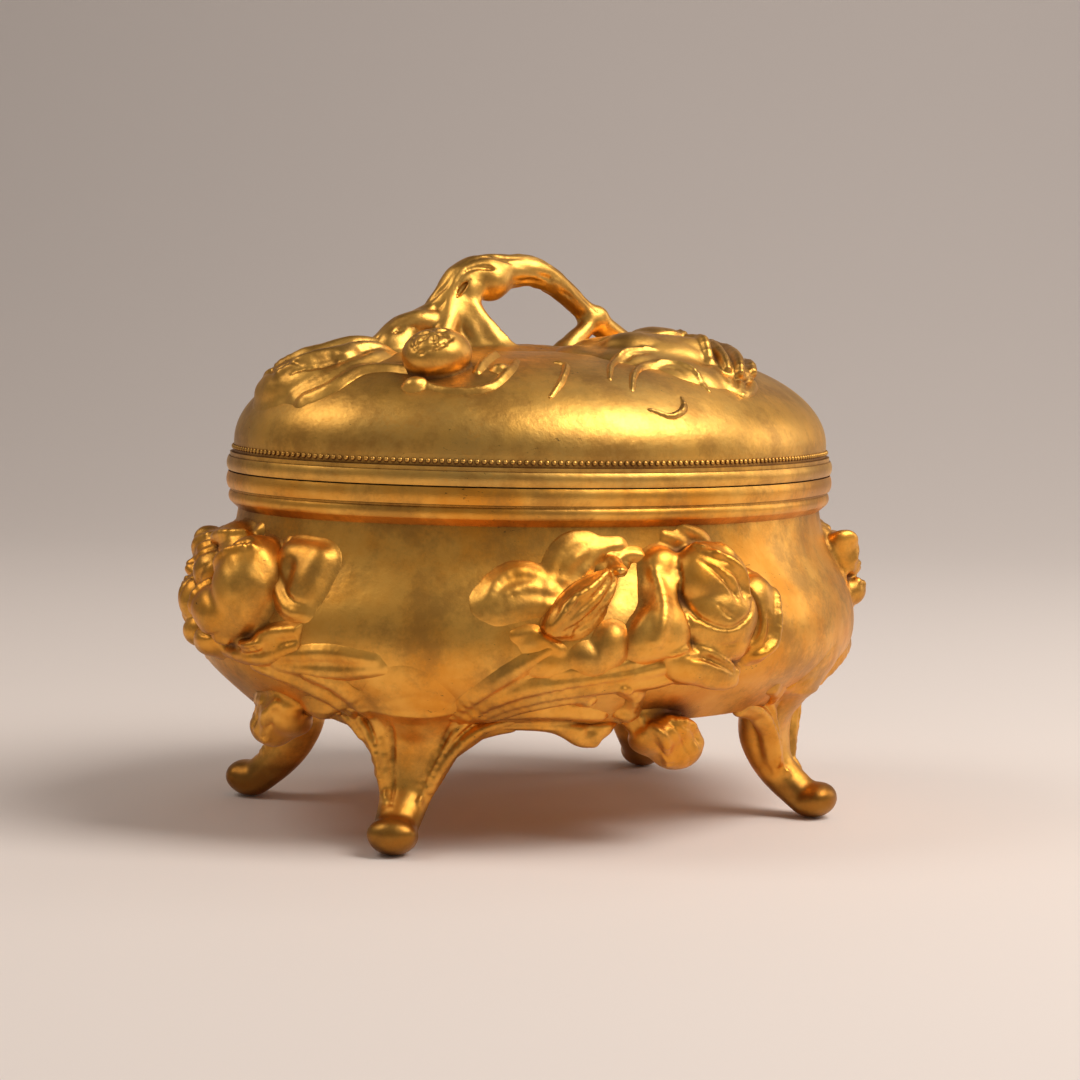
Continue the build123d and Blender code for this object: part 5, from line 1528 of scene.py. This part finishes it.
# Where the camera stands round the casket, which the backdrop faces
CAMERA_BEARING = math.radians(29.92)

# The backdrop, in millimetres
SWEEP_START = 620.0
SWEEP_RADIUS = 1300.0
SWEEP_HALF_WIDTH = 2200.0
SWEEP_NEAR = -1600.0
SWEEP_TOP = 2200.0
SWEEP_STEPS = 24

# A card that lies flat under the casket and curves up behind it, square to the camera
profile = [(SWEEP_NEAR, 0.0), (SWEEP_START, 0.0)]
for step in range(1, SWEEP_STEPS + 1):
    angle = math.radians(90 * step / SWEEP_STEPS)
    profile.append((SWEEP_START + SWEEP_RADIUS * math.sin(angle), SWEEP_RADIUS * (1 - math.cos(angle))))
profile.append((SWEEP_START + SWEEP_RADIUS, SWEEP_TOP))
away = np.array([math.sin(CAMERA_BEARING), math.cos(CAMERA_BEARING), 0])
beside = np.array([math.cos(CAMERA_BEARING), -math.sin(CAMERA_BEARING), 0])
sweep_points = [away * deep + beside * side + [0, 0, up]
                for deep, up in profile for side in (-SWEEP_HALF_WIDTH, SWEEP_HALF_WIDTH)]
sweep_faces = [(2 * row, 2 * row + 1, 2 * row + 3, 2 * row + 2) for row in range(len(profile) - 1)]
sweep = make_object("backdrop", sweep_points, sweep_faces, staged("backdrop_card", (0.86, 0.775, 0.72)))

# A dark card over the casket and behind it, out of the picture, which the lid's top mirrors
CEILING_HEIGHT = 1100.0
ceiling_points = [(x, y, CEILING_HEIGHT) for x, y in ((-250, 100), (650, 100), (650, 900), (-250, 900))]
ceiling_card = staged("ceiling_card", (0.05, 0.045, 0.04))
ceiling = make_object("dark_ceiling", ceiling_points, [(0, 1, 2, 3)], ceiling_card)

# Warm pale light from all round
world = bpy.data.worlds.new("studio")
bpy.context.scene.world = world
world.use_nodes = True
room_light = world.node_tree.nodes["Background"]
room_light.inputs["Color"].default_value = (1.0, 0.93, 0.88, 1)
room_light.inputs["Strength"].default_value = 0.22


def lamp(name, place, aim, size, power, colour):
    """A soft square lamp, with places in millimetres."""
    light = bpy.data.lights.new(name, "AREA")
    light.shape = "SQUARE"
    light.size = size * MM
    light.energy = power
    light.color = colour
    holder = bpy.data.objects.new(name, light)
    holder.location = Vector(place) * MM
    holder.rotation_euler = (Vector(aim) - Vector(place)).to_track_quat("-Z", "Y").to_euler()
    bpy.context.scene.collection.objects.link(holder)


CASKET_MIDDLE = (0, 0, 50)
lamp("key_lamp", (360, -430, 740), CASKET_MIDDLE, 500, 6.4, (1.0, 0.95, 0.90))
lamp("left_lamp", (-560, 200, 760), CASKET_MIDDLE, 380, 1.5, (1.0, 0.93, 0.86))
lamp("right_lamp", (900, -160, 330), CASKET_MIDDLE, 420, 1.1, (1.0, 0.95, 0.90))
lamp("backdrop_lamp", (700, 420, 1150), (1050, 1200, 260), 800, 3.0, (1.0, 0.96, 0.94))

# The camera's place was worked out from the rim's oval and the feet
CAMERA_RISE = math.radians(5.03)
CAMERA_DISTANCE = 590.0
CAMERA_AIM_HEIGHT = 60.0
CAMERA_PAN = math.radians(0.10)
CAMERA_TILT = math.radians(-0.035)
CAMERA_ROLL = math.radians(1.43)
FOCAL_PIXELS = 2688.0
PHOTO_PIXELS = 1080.0
CENTRE_RISE_PIXELS = 2.0

camera_data = bpy.data.cameras.new("camera")
camera_data.sensor_width = 36.0
camera_data.lens = FOCAL_PIXELS / PHOTO_PIXELS * camera_data.sensor_width
camera_data.shift_y = -CENTRE_RISE_PIXELS / PHOTO_PIXELS
camera_data.clip_start = 0.01
camera = bpy.data.objects.new("camera", camera_data)
level = CAMERA_DISTANCE * math.cos(CAMERA_RISE)
height = CAMERA_AIM_HEIGHT + CAMERA_DISTANCE * math.sin(CAMERA_RISE)
camera_place = np.array([-level * math.sin(CAMERA_BEARING), -level * math.cos(CAMERA_BEARING), height])
yaw = CAMERA_BEARING + CAMERA_PAN
pitch = CAMERA_TILT - CAMERA_RISE
ahead = Vector((math.sin(yaw) * math.cos(pitch), math.cos(yaw) * math.cos(pitch), math.sin(pitch)))
right = ahead.cross(Vector((0, 0, 1))).normalized()
above = right.cross(ahead)
rolled_right = right * math.cos(CAMERA_ROLL) + above * math.sin(CAMERA_ROLL)
rolled_above = above * math.cos(CAMERA_ROLL) - right * math.sin(CAMERA_ROLL)
turn = Matrix((rolled_right, rolled_above, -ahead)).transposed().to_4x4()
camera.matrix_world = Matrix.Translation(Vector(camera_place) * MM) @ turn
bpy.context.scene.collection.objects.link(camera)
bpy.context.scene.camera = camera
bpy.context.scene.view_settings.view_transform = "Standard"
